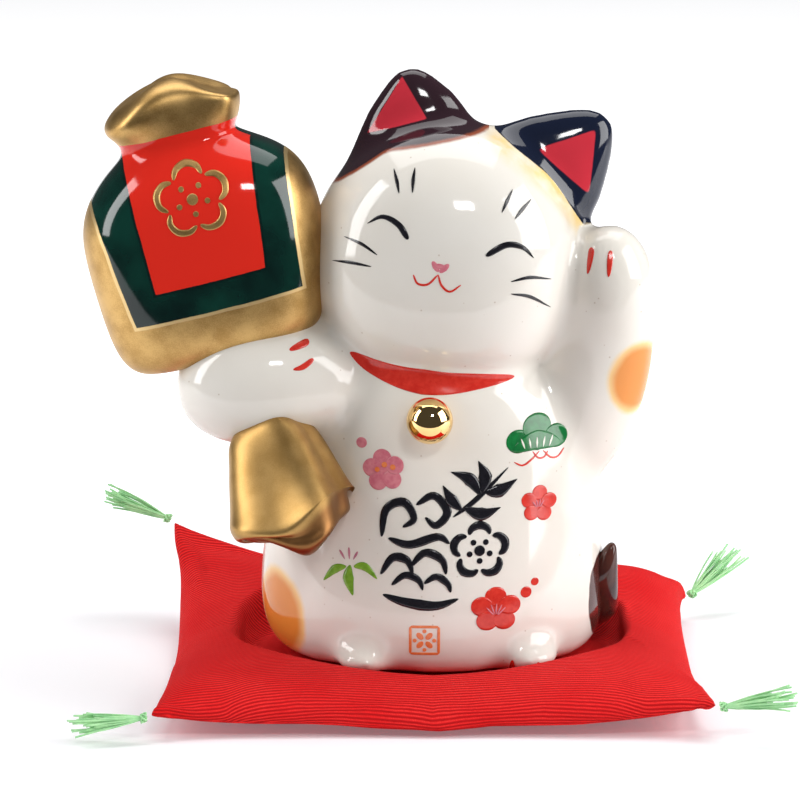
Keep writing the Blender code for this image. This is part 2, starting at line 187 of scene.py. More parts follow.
def new_piece(name, bm, rounding=0, scale=MM):
    """New object from a bmesh, which is drawn in millimetres unless a scale is given."""
    bmesh.ops.recalc_face_normals(bm, faces=bm.faces)
    bmesh.ops.scale(bm, vec=(scale, scale, scale), verts=bm.verts)
    mesh = bpy.data.meshes.new(name)
    bm.to_mesh(mesh)
    bm.free()
    mesh.shade_smooth()
    piece = bpy.data.objects.new(name, mesh)
    bpy.context.scene.collection.objects.link(piece)
    if rounding:
        rounder = piece.modifiers.new("rounding", "SUBSURF")
        rounder.levels = rounding
        rounder.render_levels = rounding
        settle(piece)
    return piece


def surface_of(piece):
    """Search tree of a piece's surface."""
    return BVHTree.FromObject(piece, bpy.context.evaluated_depsgraph_get())


head_frame = leaning(*HEAD_FRAME)
casts = {
    "torso": moulded(TORSO, BODY_SIDES, flat=BASE_BORDER),
    "head": moulded(HEAD, BODY_SIDES, head_frame, HEAD_SQUARENESS),
    "ear_left": moulded(EAR_LEFT, LIMB_SIDES, head_frame),
    "ear_right": moulded(EAR_RIGHT, LIMB_SIDES, head_frame),
    "raised_arm": moulded(RAISED_ARM, LIMB_SIDES),
    "holding_arm": moulded(HOLDING_ARM, LIMB_SIDES),
}
casts = {name: new_piece(name, form, ROUNDING) for name, form in casts.items()}
for number, centre in enumerate(SITTING_PAWS):
    paw = bmesh.new()
    bmesh.ops.create_uvsphere(paw, u_segments=48, v_segments=24, radius=1.0)
    bmesh.ops.scale(paw, vec=SITTING_PAW_RADII, verts=paw.verts)
    bmesh.ops.translate(paw, vec=centre, verts=paw.verts)
    casts[f"sitting_paw_{number}"] = new_piece(f"sitting_paw_{number}", paw)

cast_surfaces = {name: surface_of(piece) for name, piece in casts.items()}
luted = bmesh.new()
for piece in casts.values():
    luted.from_mesh(piece.data)
    bpy.data.objects.remove(piece)
cat = new_piece("cat_casting", luted, scale=1.0)
skin = cat.modifiers.new("one_skin", "REMESH")
skin.mode = "VOXEL"
skin.voxel_size = SKIN_CELL * MM
settle(cat)

sponged = bmesh.new()
sponged.from_mesh(cat.data)
nearness = {}
for vert in sponged.verts:
    gaps = []
    for surface in cast_surfaces.values():
        found = surface.find_nearest(vert.co, JOINT_REACH * MM)
        if found[3] is not None:
            gaps.append(found[3])
    second = sorted(gaps)[1] if len(gaps) > 1 else JOINT_REACH * MM
    nearness[vert] = 1.0 - second / (JOINT_REACH * MM)
smoothing = {"factor": 0.5, "use_axis_x": True, "use_axis_y": True, "use_axis_z": True}
for _ in range(SMOOTH_STROKES):
    bmesh.ops.smooth_vert(sponged, verts=sponged.verts[:], **smoothing)
for turn in range(JOINT_STROKES):
    near = [vert for vert, share in nearness.items() if share > turn / JOINT_STROKES]
    bmesh.ops.smooth_vert(sponged, verts=near, **smoothing)
sponged.to_mesh(cat.data)
sponged.free()
cat.data.shade_smooth()

bore = bmesh.new()
bmesh.ops.create_cone(
    bore, cap_ends=True, segments=64, radius1=POUR_HOLE_RADIUS, radius2=POUR_HOLE_RADIUS,
    depth=2.0 * POUR_HOLE_DEPTH, matrix=Matrix.Translation((0.0, 0.0, BASE_HEIGHT)),
)
core = new_piece("pour_hole", bore)
opened = cat.modifiers.new("pour_hole", "BOOLEAN")
opened.operation = "DIFFERENCE"
opened.solver = "EXACT"
opened.object = core
settle(cat)
bpy.data.objects.remove(core)
cat_surface = surface_of(cat)


# ---- White glaze ---------------------------------------------------------------------
# A clear glossy glaze over the white body. The dark ears, the red ear linings and the
# orange patches are underglaze colour, brushed or airbrushed on before the glaze, so
# they lie under the same gloss and have soft edges.
class Value:
    """A quantity that varies over a surface. Python's own signs do sums with it."""

    def __init__(self, finish, socket):
        self.finish = finish
        self.socket = socket

    def sum(self, operation, *terms):
        return self.finish.add("ShaderNodeMath", {"operation": operation}, dict(enumerate(terms)))

    def __add__(self, other):
        return self.sum("ADD", self, other)

    def __radd__(self, other):
        return self.sum("ADD", other, self)

    def __sub__(self, other):
        return self.sum("SUBTRACT", self, other)

    def __rsub__(self, other):
        return self.sum("SUBTRACT", other, self)

    def __mul__(self, other):
        return self.sum("MULTIPLY", self, other)

    def __rmul__(self, other):
        return self.sum("MULTIPLY", other, self)

    def __truediv__(self, other):
        return self.sum("DIVIDE", self, other)

    def __rtruediv__(self, other):
        return self.sum("DIVIDE", other, self)

    def __pow__(self, other):
        return self.sum("POWER", self, other)

    def __rpow__(self, other):
        return self.sum("POWER", other, self)

    def __abs__(self):
        return self.sum("ABSOLUTE", self)

    def least(self, other):
        return self.sum("MINIMUM", self, other)

    def most(self, other):
        return self.sum("MAXIMUM", self, other)

    def soft_least(self, other, reach):
        return self.sum("SMOOTH_MIN", self, other, reach)

    def sine(self):
        return self.sum("SINE", self)

    def above(self, edge, softness=0.05):
        """1 where the value is above the edge, and 0 below it."""
        limits = {"Value": self - edge, "From Min": -softness, "From Max": softness}
        return self.finish.add("ShaderNodeMapRange", {"interpolation_type": "SMOOTHSTEP"}, limits)


class Finish:
    """One node material. Its coordinates are millimetres in a frame that is given."""

    def __init__(self, name, **constants):
        self.material = bpy.data.materials.new(name)
        self.material.use_nodes = True
        self.tree = self.material.node_tree
        self.shader = self.tree.nodes["Principled BSDF"]
        for socket, number in constants.items():
            self.shader.inputs[socket.replace("_", " ").title()].default_value = number

    def add(self, kind, settings, sockets, output=0):
        """New node with its settings and then its sockets' numbers or links."""
        node = self.tree.nodes.new(kind)
        for setting, choice in settings.items():
            setattr(node, setting, choice)
        for socket, given in sockets.items():
            if isinstance(given, Value):
                self.tree.links.new(given.socket, node.inputs[socket])
            else:
                node.inputs[socket].default_value = given
        return Value(self, node.outputs[output])

    def feed(self, **varying):
        """Links what varies to the shader's sockets."""
        for socket, value in varying.items():
            self.tree.links.new(value.socket, self.shader.inputs[socket.replace("_", " ").title()])

    def spot(self, place=Matrix()):
        """Position in millimetres in a frame."""
        centre = tuple(number * MM for number in place.to_translation())
        seen = self.add("ShaderNodeTexCoord", {}, {}, 3)
        turn = place.to_euler()
        placed = {"Vector": seen, "Location": centre, "Rotation": turn, "Scale": (MM,) * 3}
        return self.add("ShaderNodeMapping", {"vector_type": "TEXTURE"}, placed)

    def axes(self, vector):
        """The three coordinates of a position."""
        split = self.add("ShaderNodeSeparateXYZ", {}, {0: vector})
        return [Value(self, coordinate) for coordinate in split.socket.node.outputs]

    def noise(self, spot, size, detail=3.0, roughness=0.5):
        """Cloudy variation from 0 to 1 whose blotches have that size in millimetres."""
        sockets = {"Vector": spot, "Scale": 1.0 / size, "Detail": detail, "Roughness": roughness}
        return self.add("ShaderNodeTexNoise", {}, sockets)

    def blend(self, share, first, second):
        """Second colour laid over the first by a share."""
        colours = [c if isinstance(c, Value) else (*c, 1.0) for c in (first, second)]
        sockets = {0: share, 6: colours[0], 7: colours[1]}
        return self.add("ShaderNodeMix", {"data_type": "RGBA"}, sockets, 2)

    def relief(self, height, depth):
        """Bumps of that depth in millimetres."""
        sockets = {"Strength": 1.0, "Distance": depth * MM, "Height": height}
        return self.add("ShaderNodeBump", {}, sockets)


def ellipsoid(axes, centre, radii):
    """Distance from a centre, as a share of the radii."""
    total = 0.0
    for axis, middle, radius in zip(axes, centre, radii):
        total = ((axis - middle) / radius) ** 2.0 + total
    return total ** 0.5


def corners_within(x, z, corners, softness):
    """Depth inside a polygon whose corners run clockwise, softened at its corners."""
    depth = None
    for start, end in zip(corners, corners[1:] + corners[:1]):
        run = (Vector(end) - Vector(start)).normalized()
        inside = (x - start[0]) * run.y - (z - start[1]) * run.x
        depth = inside if depth is None else depth.soft_least(inside, softness)
    return depth


def dipped_edge(x, start, first, second, softness):
    """Height of the edge of an ear's colour: the lower of two straight edges."""
    heights = [height + (x - start) * slope for height, slope in (first, second)]
    return heights[0].soft_least(heights[1], softness)


GLAZE_WHITE = (0.84, 0.805, 0.745)
GLAZE_WARM = (0.78, 0.735, 0.66)
GLAZE_SPECK = (0.42, 0.30, 0.20)
EAR_PLUM = (0.030, 0.014, 0.020)
EAR_NAVY = (0.008, 0.012, 0.030)
EAR_BROWN = (0.30, 0.075, 0.035)
EAR_RED = (0.62, 0.035, 0.055)
CREAM_YELLOW = (0.86, 0.62, 0.24)
PATCH_ORANGE = (0.76, 0.27, 0.045)
PATCH_YELLOW = (0.90, 0.62, 0.27)
PATCH_DARK = (0.075, 0.022, 0.018)
LINING_LEFT = [(-14.3, 28.6), (-8.4, 22.4), (-18.3, 17.4)]
LINING_RIGHT = [(21.9, 26.6), (23.2, 14.8), (12.2, 21.2)]
# Each patch is the centre and the radii of the ball that it fills.
ORANGE_PATCHES = (
    ((37.2, -9.0, 58.2), (5.6, 8.0, 6.6)),
    ((-29.2, -12.0, 14.4), (6.8, 9.0, 8.4)),
)
DARK_PATCH = ((31.4, -3.6, 17.2), (5.6, 9.6, 8.2))
# The ears' dark colour starts above two straight edges: the x where their heights are
# given, both heights and slopes, and how softly one edge runs into the other.
LEFT_DIP = (-14.7, (15.7, 1.05), (15.9, 0.40), 1.2)
RIGHT_DIP = (4.0, (22.9, -0.50), (29.0, -1.02), 2.0)
PAW_BLEND = 0.6                 # width of the change from the ear's colour to the white paw

glaze = Finish("white_glaze")
spot = glaze.spot()
body_axes = glaze.axes(spot)
head_spot = glaze.spot(head_frame)
x, y, z = glaze.axes(head_spot)
wobble = (glaze.noise(head_spot, 3.0) - 0.5) * 0.8

cloud = glaze.noise(spot, 26.0)
colour = glaze.blend(cloud.above(0.5, 0.3), GLAZE_WARM, GLAZE_WHITE)
speck = glaze.add("ShaderNodeTexVoronoi", {}, {"Vector": spot, "Scale": 0.34, "Randomness": 1.0})
colour = glaze.blend((0.05 - speck).above(0.0, 0.03) * 0.55, colour, GLAZE_SPECK)

for centre, radii in ORANGE_PATCHES:
    reach = ellipsoid(body_axes, centre, radii) + (glaze.noise(spot, 5.0) - 0.5) * 0.16
    colour = glaze.blend((1.08 - reach).above(0.0, 0.10), colour, PATCH_YELLOW)
    colour = glaze.blend((0.92 - reach).above(0.0, 0.14), colour, PATCH_ORANGE)
dark_reach = ellipsoid(body_axes, *DARK_PATCH) + (glaze.noise(spot, 4.0) - 0.5) * 0.1
colour = glaze.blend((1.0 - dark_reach).above(0.0, 0.03), colour, PATCH_DARK)

off_paw = glaze.add("ShaderNodeAttribute", {"attribute_name": "off_paw"}, {}, 2)
on_left = (3.0 - x).above(0.0, 0.05)
left_depth = z - dipped_edge(x, *LEFT_DIP) + wobble * 0.4
right_depth = z - dipped_edge(x, *RIGHT_DIP) + wobble * 0.4
streak = (right_depth + 2.1 + wobble).above(0.0, 1.9) * (x - 3.0).above(0.0, 1.5) * off_paw
colour = glaze.blend(streak * glaze.noise(head_spot, 5.0).above(0.42, 0.22), colour, CREAM_YELLOW)
colour = glaze.blend((left_depth + 0.25).above(0.0, 0.25) * on_left, colour, EAR_BROWN)
colour = glaze.blend((left_depth - 0.25).above(0.0, 0.25) * on_left, colour, EAR_PLUM)
on_right = (x - 4.0).above(0.0, 0.05) * off_paw
colour = glaze.blend(right_depth.above(0.0, 0.08) * on_right, colour, EAR_NAVY)

in_front = (-0.3 - y).above(0.0, 0.4)
for corners, softness in ((LINING_LEFT, 0.5), (LINING_RIGHT, 1.6)):
    lining = corners_within(x, z, corners, softness) + wobble * 0.2
    colour = glaze.blend(lining.above(0.0, 0.12) * in_front, colour, EAR_RED)
glaze.feed(
    base_color=colour,
    roughness=0.045 + glaze.noise(spot, 6.0) * 0.06,
    normal=glaze.relief(glaze.noise(spot, 7.0, 2.0) + glaze.noise(spot, 0.9, 1.0) * 0.05, 0.05),
)

paw_nearness = cat.data.attributes.new("off_paw", "FLOAT", "POINT")
for vert, row in zip(cat.data.vertices, paw_nearness.data):
    to_arm = cast_surfaces["raised_arm"].find_nearest(vert.co)[3]
    to_ear = min(cast_surfaces[name].find_nearest(vert.co)[3] for name in ("head", "ear_right"))
    row.value = min(max((to_arm - to_ear) / (PAW_BLEND * MM), 0.0), 1.0)
cat.data.materials.append(glaze.material)
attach(cat, "cat")
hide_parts("cat_body")

# ---- Brushed enamels -----------------------------------------------------------------
# The face, the claws, the collar and the flowers are fired on over the glaze. Each
# stroke is a thin raised skin of enamel that follows the surface it was brushed on.
ENAMEL_LIFT = 0.05
ENAMEL_THICKNESS = 0.08
LAYER_LIFT = 0.012              # later strokes lie a little higher
SECOND_COAT = 0.08              # enamel brushed over enamel stands this much further out
BRUSH_START = -70.0             # where the brush sets out from, in front of the cat


def route_point(route, share):
    """Point and direction at a share of a smooth curve through the route's points."""
    points = [Vector(p) for p in route]
    ends = [points[0] * 2.0 - points[1], *points, points[-1] * 2.0 - points[-2]]
    place = min(share, 0.9999) * (len(points) - 1)
    number = int(place)
    t = place - number
    a, b, c, d = ends[number:number + 4]
    point = b + (c - a) * 0.5 * t + (a - b * 2.5 + c * 2.0 - d * 0.5) * t ** 2
    point += (b * 1.5 - a * 0.5 - c * 1.5 + d * 0.5) * t ** 3
    slope = (c - a) * 0.5 + (a * 2.0 - b * 5.0 + c * 4.0 - d) * t
    slope += (b * 4.5 - a * 1.5 - c * 4.5 + d * 1.5) * t ** 2
    return point, slope.normalized()


def stroke(route, start, middle, end, blunt=2.0, steps=20, across=4):
    """A brush stroke: its route, its width at three places, and how blunt its ends are."""
    return {"route": route, "widths": (start, middle, end), "blunt": blunt, "grid": (steps, across)}


def dab(x, z, half_width, half_height=None, turn=0.0):
    """A round dab of the brush, wider than high by its half sizes and turned in degrees."""
    along = Matrix.Rotation(math.radians(turn), 2) @ Vector((half_width, 0.0))
    route = [Vector((x, z)) - along, Vector((x, z)) + along]
    width = 2.0 * (half_height or half_width)
    return stroke(route, width, width, width, steps=18, across=8)


def brushed(name, strokes, surface, finish, place=Matrix()):
    """Strokes of one enamel, drawn in a frame's x and z and laid on a surface behind it."""
    away = (place.to_3x3() @ Vector((0.0, 1.0, 0.0))).normalized()
    bm = bmesh.new()
    for number, drawn in enumerate(strokes):
        steps, across = drawn["grid"]
        made = bmesh.ops.create_grid(bm, x_segments=steps, y_segments=across, size=1.0)["verts"]
        for vert in made:
            share = 0.5 - 0.5 * math.cos(math.pi * (vert.co.x + 1.0) / 2.0)
            centre, along = route_point(drawn["route"], share)
            width = np.interp(share, (0.0, 0.5, 1.0), drawn["widths"])
            width *= (1.0 - abs(2.0 * share - 1.0) ** drawn["blunt"]) ** 0.5
            offset = Vector((-along.y, along.x)) * vert.co.y * width / 2.0
            spot_x, spot_z = centre + offset
            start = place @ Vector((spot_x, BRUSH_START, spot_z))
            hit, normal, *_ = surface.ray_cast(start * MM, away)
            lift = ENAMEL_LIFT + LAYER_LIFT * (number % 6)
            vert.co = start if hit is None else hit / MM + normal * lift
    missed = [vert for vert in bm.verts if (place.inverted() @ vert.co).y < BRUSH_START + 1.0]
    bmesh.ops.delete(bm, geom=missed, context="VERTS")
    bmesh.ops.remove_doubles(bm, verts=bm.verts, dist=0.004)
    bm.normal_update()
    backward = [face for face in bm.faces if face.normal.dot(away) > 0.0]
    bmesh.ops.reverse_faces(bm, faces=backward)
    bmesh.ops.scale(bm, vec=(MM, MM, MM), verts=bm.verts)
    mesh = bpy.data.meshes.new(name)
    bm.to_mesh(mesh)
    bm.free()
    piece = bpy.data.objects.new(name, mesh)
    bpy.context.scene.collection.objects.link(piece)
    skin = piece.modifiers.new("enamel_skin", "SOLIDIFY")
    skin.thickness = ENAMEL_THICKNESS * MM
    skin.offset = -1.0
    settle(piece)
    piece.data.materials.append(finish.material)
    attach(piece, "cat")
    return piece


def enamel(name, thick, thin, gloss=0.1, cloud=1.2):
    """Enamel that is deeper where the brush left more of it."""
    made = Finish(name)
    spot = made.spot()
    load = made.noise(spot, cloud, 4.0, 0.6)
    made.feed(
        base_color=made.blend(load.above(0.5, 0.25), thin, thick),
        roughness=gloss + load * 0.08,
        normal=made.relief(made.noise(spot, 0.5, 2.0), 0.012),
    )
    return made


ink = enamel("brushed_ink", (0.006, 0.006, 0.009), (0.014, 0.013, 0.018))
red_enamel = enamel("brushed_red", (0.58, 0.022, 0.014), (0.70, 0.045, 0.028))
pink_enamel = enamel("brushed_pink", (0.60, 0.14, 0.20), (0.72, 0.25, 0.29))
orange_enamel = enamel("brushed_orange", (0.80, 0.18, 0.05), (0.86, 0.28, 0.10))
pine_enamel = enamel("brushed_pine_green", (0.004, 0.12, 0.028), (0.010, 0.19, 0.045))
leaf_enamel = enamel("brushed_leaf_green", (0.13, 0.30, 0.022), (0.24, 0.44, 0.045))
pale_enamel = enamel("brushed_pale", (0.72, 0.74, 0.62), (0.80, 0.80, 0.72))
mauve_enamel = enamel("brushed_mauve", (0.42, 0.14, 0.20), (0.55, 0.22, 0.28))

FACE_INK = [
    stroke([(-15.3, 3.5), (-12.9, 5.4), (-9.9, 4.8), (-7.7, 2.7)], 0.25, 1.0, 1.25, 6.0, 30),
    stroke([(6.4, 2.7), (9.6, 5.2), (12.6, 5.2), (15.0, 3.6)], 1.25, 1.05, 0.25, 6.0, 30),
    stroke([(-12.6, 13.7), (-11.7, 11.9), (-10.9, 10.0)], 0.35, 0.64, 0.45),
    stroke([(-9.0, 14.8), (-8.9, 12.7), (-8.6, 10.7)], 0.35, 0.64, 0.45),
    stroke([(8.8, 14.6), (8.2, 12.6), (7.7, 10.6)], 0.35, 0.64, 0.45),
    stroke([(12.5, 13.5), (11.2, 11.6), (10.2, 9.8)], 0.35, 0.64, 0.45),
    stroke([(-18.8, 0.0), (-15.5, -0.3), (-12.4, -1.4)], 0.30, 0.60, 0.46),
    stroke([(-19.9, -4.9), (-16.7, -4.1), (-13.0, -3.7)], 0.30, 0.60, 0.46),
    stroke([(11.8, -1.1), (15.2, 0.1), (19.1, 0.1)], 0.46, 0.64, 0.30),
    stroke([(12.3, -3.3), (15.9, -3.4), (20.1, -5.1)], 0.46, 0.60, 0.30),
]
MOUTH = [
    stroke([(-5.5, -3.2), (-4.4, -4.6), (-2.6, -4.3), (-1.2, -2.2)], 0.34, 0.42, 0.36, 6.0, 30),
    stroke([(-1.2, -2.2), (-0.2, -4.0), (1.5, -4.8), (3.2, -3.2)], 0.36, 0.42, 0.30, 6.0, 30),
]
NOSE = [
    stroke([(-2.7, -0.1), (-1.2, -1.7)], 0.7, 1.1, 0.7, 4.0),
    stroke([(0.3, 0.0), (-1.0, -1.8)], 0.7, 1.1, 0.7, 4.0),
    stroke([(-2.0, -0.7), (-0.3, -0.7)], 0.9, 0.9, 0.9, 3.0),
]
brushed("face_lines", FACE_INK, cat_surface, ink, head_frame)
brushed("mouth", MOUTH, cat_surface, red_enamel, head_frame)
brushed("nose", NOSE, cat_surface, pink_enamel, head_frame)

COLLAR = [
    stroke(
        [(-14.9, 63.9), (-10.9, 61.5), (-5.0, 59.7), (1.5, 58.9), (8.0, 59.0), (14.7, 59.3)],
        2.8, 4.5, 3.0, 2.0, 60, 14,
    ),
]
CLAWS = [
    stroke([(-25.7, 65.1), (-22.2, 66.3)], 0.7, 1.15, 1.3, 5.0),
    stroke([(-25.0, 61.8), (-23.2, 62.2), (-21.4, 63.4)], 0.5, 1.05, 0.9, 5.0),
    stroke([(28.6, 82.6), (27.8, 78.0)], 1.2, 0.9, 0.5, 4.0),
    stroke([(31.9, 82.2), (31.5, 77.6)], 1.1, 1.0, 0.6, 4.0),
    stroke([(14.4, 9.0), (14.2, 6.6)], 0.6, 0.9, 0.9, 4.0),
    stroke([(19.0, 8.8), (19.2, 6.6)], 0.6, 0.9, 0.9, 4.0),
]
brushed("collar", COLLAR, cat_surface, red_enamel)
brushed("claws", CLAWS, cat_surface, red_enamel)


def blossom(centre_x, centre_z, petal, reach, turn=90.0, squash=1.0):
    """Five round petals about a heart, as dabs of the brush."""
    dabs = [dab(centre_x, centre_z, petal, petal * squash)]
    for number in range(5):
        angle = math.radians(turn + 72.0 * number)
        petal_x = centre_x + reach * math.cos(angle)
        petal_z = centre_z + reach * squash * math.sin(angle)
        dabs.append(dab(petal_x, petal_z, petal, petal * squash))
    return dabs


def petal_outlines(centre_x, centre_z, reach, curve, widths):
    """Five open curves that outline a blossom's petals."""
    outlines = []
    for number in range(5):
        a = math.radians(90.0 + 72.0 * number)
        route = []
        for bend in (-1.5, -0.8, 0.0, 0.8, 1.5):
            x = reach[0] * math.cos(a) + curve[0] * math.cos(a + bend)
            z = reach[1] * math.sin(a) + curve[1] * math.sin(a + bend)
            route.append((centre_x + x, centre_z + z))
        outlines.append(stroke(route, *widths, 24))
    return outlines


def ring_of_dabs(centre_x, centre_z, reach, count, start, size):
    """Dabs spaced round a centre, from a start angle in degrees."""
    dabs = []
    for number in range(count):
        a = math.radians(start + 360.0 / count * number)
        x = centre_x + reach[0] * math.cos(a)
        dabs.append(dab(x, centre_z + reach[1] * math.sin(a), size))
    return dabs


def stamens(centre_x, centre_z, length, width, angles):
    """Fine filaments that rise from below a blossom's heart."""
    foot = Vector((centre_x, centre_z - length * 0.75))
    lines = []
    for angle in angles:
        lean = Vector((math.sin(math.radians(angle)), math.cos(math.radians(angle))))
        lines.append(stroke([foot + lean * length * 0.3, foot + lean * length * 1.3], *[width] * 3))
    return lines


PINE = [
    dab(15.4, 48.0, 2.2, 2.1),
    dab(18.8, 50.2, 2.6, 2.5),
    dab(22.3, 48.3, 2.1, 2.1),
    stroke([(14.6, 46.6), (18.8, 47.9), (23.1, 46.9)], 2.0, 3.6, 2.0, 4.0, 24, 8),
]
NEEDLES = [
    stroke([(15.9 + 1.45 * number, 48.5), (16.6 + 1.1 * number, 46.6)], 0.15, 0.34, 0.2)
    for number in range(5)
]
CURLS = [
    stroke([(14.6, 44.4), (16.2, 43.7), (17.8, 44.6), (19.3, 46.0)], 0.25, 0.36, 0.25, 6.0),
    stroke([(18.0, 46.0), (19.0, 44.8), (20.1, 44.8), (20.8, 45.8)], 0.25, 0.36, 0.25, 6.0),
    stroke([(19.9, 46.0), (21.3, 44.6), (22.7, 44.6), (23.8, 45.9)], 0.25, 0.36, 0.25, 6.0),
]
PINK_PLUM = [*blossom(-8.8, 43.3, 1.65, 2.15, 98.0), dab(-12.8, 48.0, 0.95)]
PINK_HEART = [dab(-10.0, 43.4, 0.45), dab(-8.7, 44.3, 0.5), dab(-7.2, 43.9, 0.5)]
RED_PLUMS = [
    *blossom(19.1, 36.6, 1.35, 1.95, 84.0),
    *blossom(11.3, 18.5, 1.95, 2.65, 90.0, 0.9),
    dab(16.8, 21.2, 1.0),
    dab(18.4, 22.9, 0.7),
]
PLUM_LINES = [
    *stamens(11.3, 18.6, 1.9, 0.22, (-42, -20, 4, 27, 46)),
    *stamens(19.1, 36.7, 1.4, 0.2, (-38, -14, 10, 34)),
]
BAMBOO = [
    stroke([(-15.6, 25.9), (-17.6, 25.2), (-19.7, 22.9)], 1.2, 1.5, 0.7),
    stroke([(-14.9, 26.2), (-15.2, 23.8), (-14.4, 20.8)], 1.2, 2.0, 0.9),
    stroke([(-14.2, 26.0), (-12.2, 26.1), (-10.0, 24.1)], 1.2, 1.5, 0.7),
]
SHOOTS = [
    stroke([(-16.8, 28.7), (-15.8, 27.1)], 0.45, 0.4, 0.25),
    stroke([(-15.1, 29.3), (-15.0, 27.2)], 0.45, 0.4, 0.25),
    stroke([(-13.5, 28.7), (-14.3, 27.2)], 0.45, 0.4, 0.25),
]
brushed("pine_cloud", PINE, cat_surface, pine_enamel)
second_coats = [brushed("pine_needles", NEEDLES, cat_surface, pale_enamel)]
brushed("pine_curls", CURLS, cat_surface, red_enamel)
brushed("pink_plum", PINK_PLUM, cat_surface, pink_enamel)
second_coats.append(brushed("pink_plum_heart", PINK_HEART, cat_surface, orange_enamel))
brushed("red_plums", RED_PLUMS, cat_surface, red_enamel)
second_coats.append(brushed("plum_stamens", PLUM_LINES, cat_surface, pink_enamel))
for coat in second_coats:
    coat.data.transform(Matrix.Translation((0.0, -SECOND_COAT * MM, 0.0)))
brushed("bamboo_leaves", BAMBOO, cat_surface, leaf_enamel)
brushed("bamboo_shoots", SHOOTS, cat_surface, mauve_enamel)

# ---- Chest ornament ------------------------------------------------------------------
# Four brush drawings in black enamel fill the chest in two columns: a bamboo spray, a
# blossom, a cloud scroll and waves, with a small red stamp of a lattice flower below.
INK_BAMBOO = [
    stroke([(3.6, 35.2), (8.0, 38.4), (13.6, 43.6)], 0.88, 1.0, 0.62),
    stroke([(8.6, 39.0), (6.6, 41.8), (3.2, 43.2)], 1.62, 2.38, 0.62),
    stroke([(8.8, 39.4), (9.4, 42.2), (8.2, 45.0)], 1.62, 2.5, 0.62),
    stroke([(9.4, 39.4), (12.0, 39.6), (15.2, 41.4)], 1.62, 2.5, 0.62),
    stroke([(5.6, 36.8), (8.8, 35.6), (12.2, 36.6)], 1.62, 2.38, 0.62),
    stroke([(5.2, 36.4), (3.4, 38.2), (1.8, 40.8)], 1.38, 2.12, 0.62),
]
INK_BLOSSOM = [
    *petal_outlines(8.4, 29.2, (2.9, 2.7), (1.9, 1.8), (1.0, 1.55, 1.0, 5.0)),
    dab(8.4, 29.2, 0.95),
    *ring_of_dabs(8.4, 29.2, (1.9, 1.8), 5, 54.0, 0.52),
]
LEFT_SCROLL = [(-9.2, 31.6), (-8.4, 36.4), (-5.2, 37.8), (-3.4, 35.0), (-5.4, 33.4)]
RIGHT_SCROLL = [(-3.0, 37.4), (0.2, 39.0), (2.6, 36.2), (0.6, 33.8), (-1.4, 35.2)]
INK_CLOUD = [
    stroke(LEFT_SCROLL, 1.25, 1.62, 1.0, 5.0, 36),
    stroke(RIGHT_SCROLL, 1.25, 1.62, 1.0, 5.0, 36),
    stroke([(-8.0, 31.4), (-4.2, 30.4), (0.8, 31.8), (3.0, 30.6)], 1.12, 1.62, 0.88, 5.0, 30),
]
INK_WAVES = [
    stroke([(-9.4, 25.0), (-7.2, 28.0), (-4.6, 27.6), (-3.6, 25.2)], 1.0, 1.62, 0.88, 5.0, 30),
    stroke([(-4.0, 26.6), (-1.4, 29.0), (1.6, 27.8), (2.4, 25.2)], 1.0, 1.62, 0.88, 5.0, 30),
    stroke([(-7.4, 23.2), (-5.0, 25.0), (-2.6, 24.2), (-1.8, 22.4)], 0.88, 1.38, 0.75, 5.0, 30),
    stroke([(-1.6, 23.6), (0.6, 24.8), (2.6, 23.6), (3.2, 22.0)], 0.88, 1.38, 0.75, 5.0, 30),
    stroke([(-9.0, 21.4), (-5.0, 20.2), (0.4, 19.6), (4.6, 20.8)], 1.0, 2.0, 0.88, 5.0, 36),
]
INK_DRAWINGS = INK_BAMBOO + INK_BLOSSOM + INK_CLOUD + INK_WAVES
brushed("ink_drawings", INK_DRAWINGS, cat_surface, ink)

STAMP_X = -1.5
STAMP_Z = 13.2
STAMP_HALF = 2.55
STAMP = []
for near, far in (((-1, -1), (1, -1)), ((-1, 1), (1, 1)), ((-1, -1), (-1, 1)), ((1, -1), (1, 1))):
    corners = [(STAMP_X + side * STAMP_HALF, STAMP_Z + rise * STAMP_HALF) for side, rise in (near, far)]
    STAMP.append(stroke(corners, 0.5, 0.5, 0.5, 12.0))
for turn in (45.0, 135.0, 225.0, 315.0):
    lean = math.radians(turn)
    STAMP.append(dab(STAMP_X + 1.15 * math.cos(lean), STAMP_Z + 1.15 * math.sin(lean), 0.78, 0.5, turn))
STAMP += ring_of_dabs(STAMP_X, STAMP_Z, (1.75, 1.75), 4, 0.0, 0.36)
brushed("stamp", STAMP, cat_surface, orange_enamel)

# ---- Mallet drum ---------------------------------------------------------------------
# A hollow moulding of the same clay with a tied neck and a gathered mouth. It is luted
# to the holding arm. Satin gold lustre covers it, except for a dark green field with a
# red cloth painted down its face, both under a high gloss.
DRUM_FRAME = ((-41.7, -6.0, 83.0), -14.0)
DRUM = (
    (-0.7, 0.0, -21.2, 12.0, 8.0),
    (-0.7, 0.0, -20.6, 16.8, 12.0),
    (-0.8, 0.0, -17.5, 19.6, 14.5),
    (-0.2, 0.0, -9.0, 20.9, 15.6),
    (0.6, 0.0, 0.0, 21.9, 16.0),
    (0.6, 0.0, 7.0, 21.4, 15.4),
    (0.4, 0.0, 12.0, 18.8, 13.6),
    (0.4, 0.0, 15.6, 14.4, 10.8),
    (0.4, 0.0, 17.8, 10.8, 8.6),
    (0.4, 0.0, 19.4, 10.4, 8.2),
    (0.6, 0.0, 21.4, 11.8, 9.2),
    (0.5, 0.0, 23.6, 12.9, 9.8),
    (0.4, 0.0, 25.0, 12.3, 9.0),
    (0.5, 0.0, 25.9, 8.6, 6.2),
    (0.6, 0.0, 26.2, 3.0, 2.4),
)
DRUM_SIDES = 24
DRUM_SQUARENESS = 2.8
NECK_TOP = 19.4
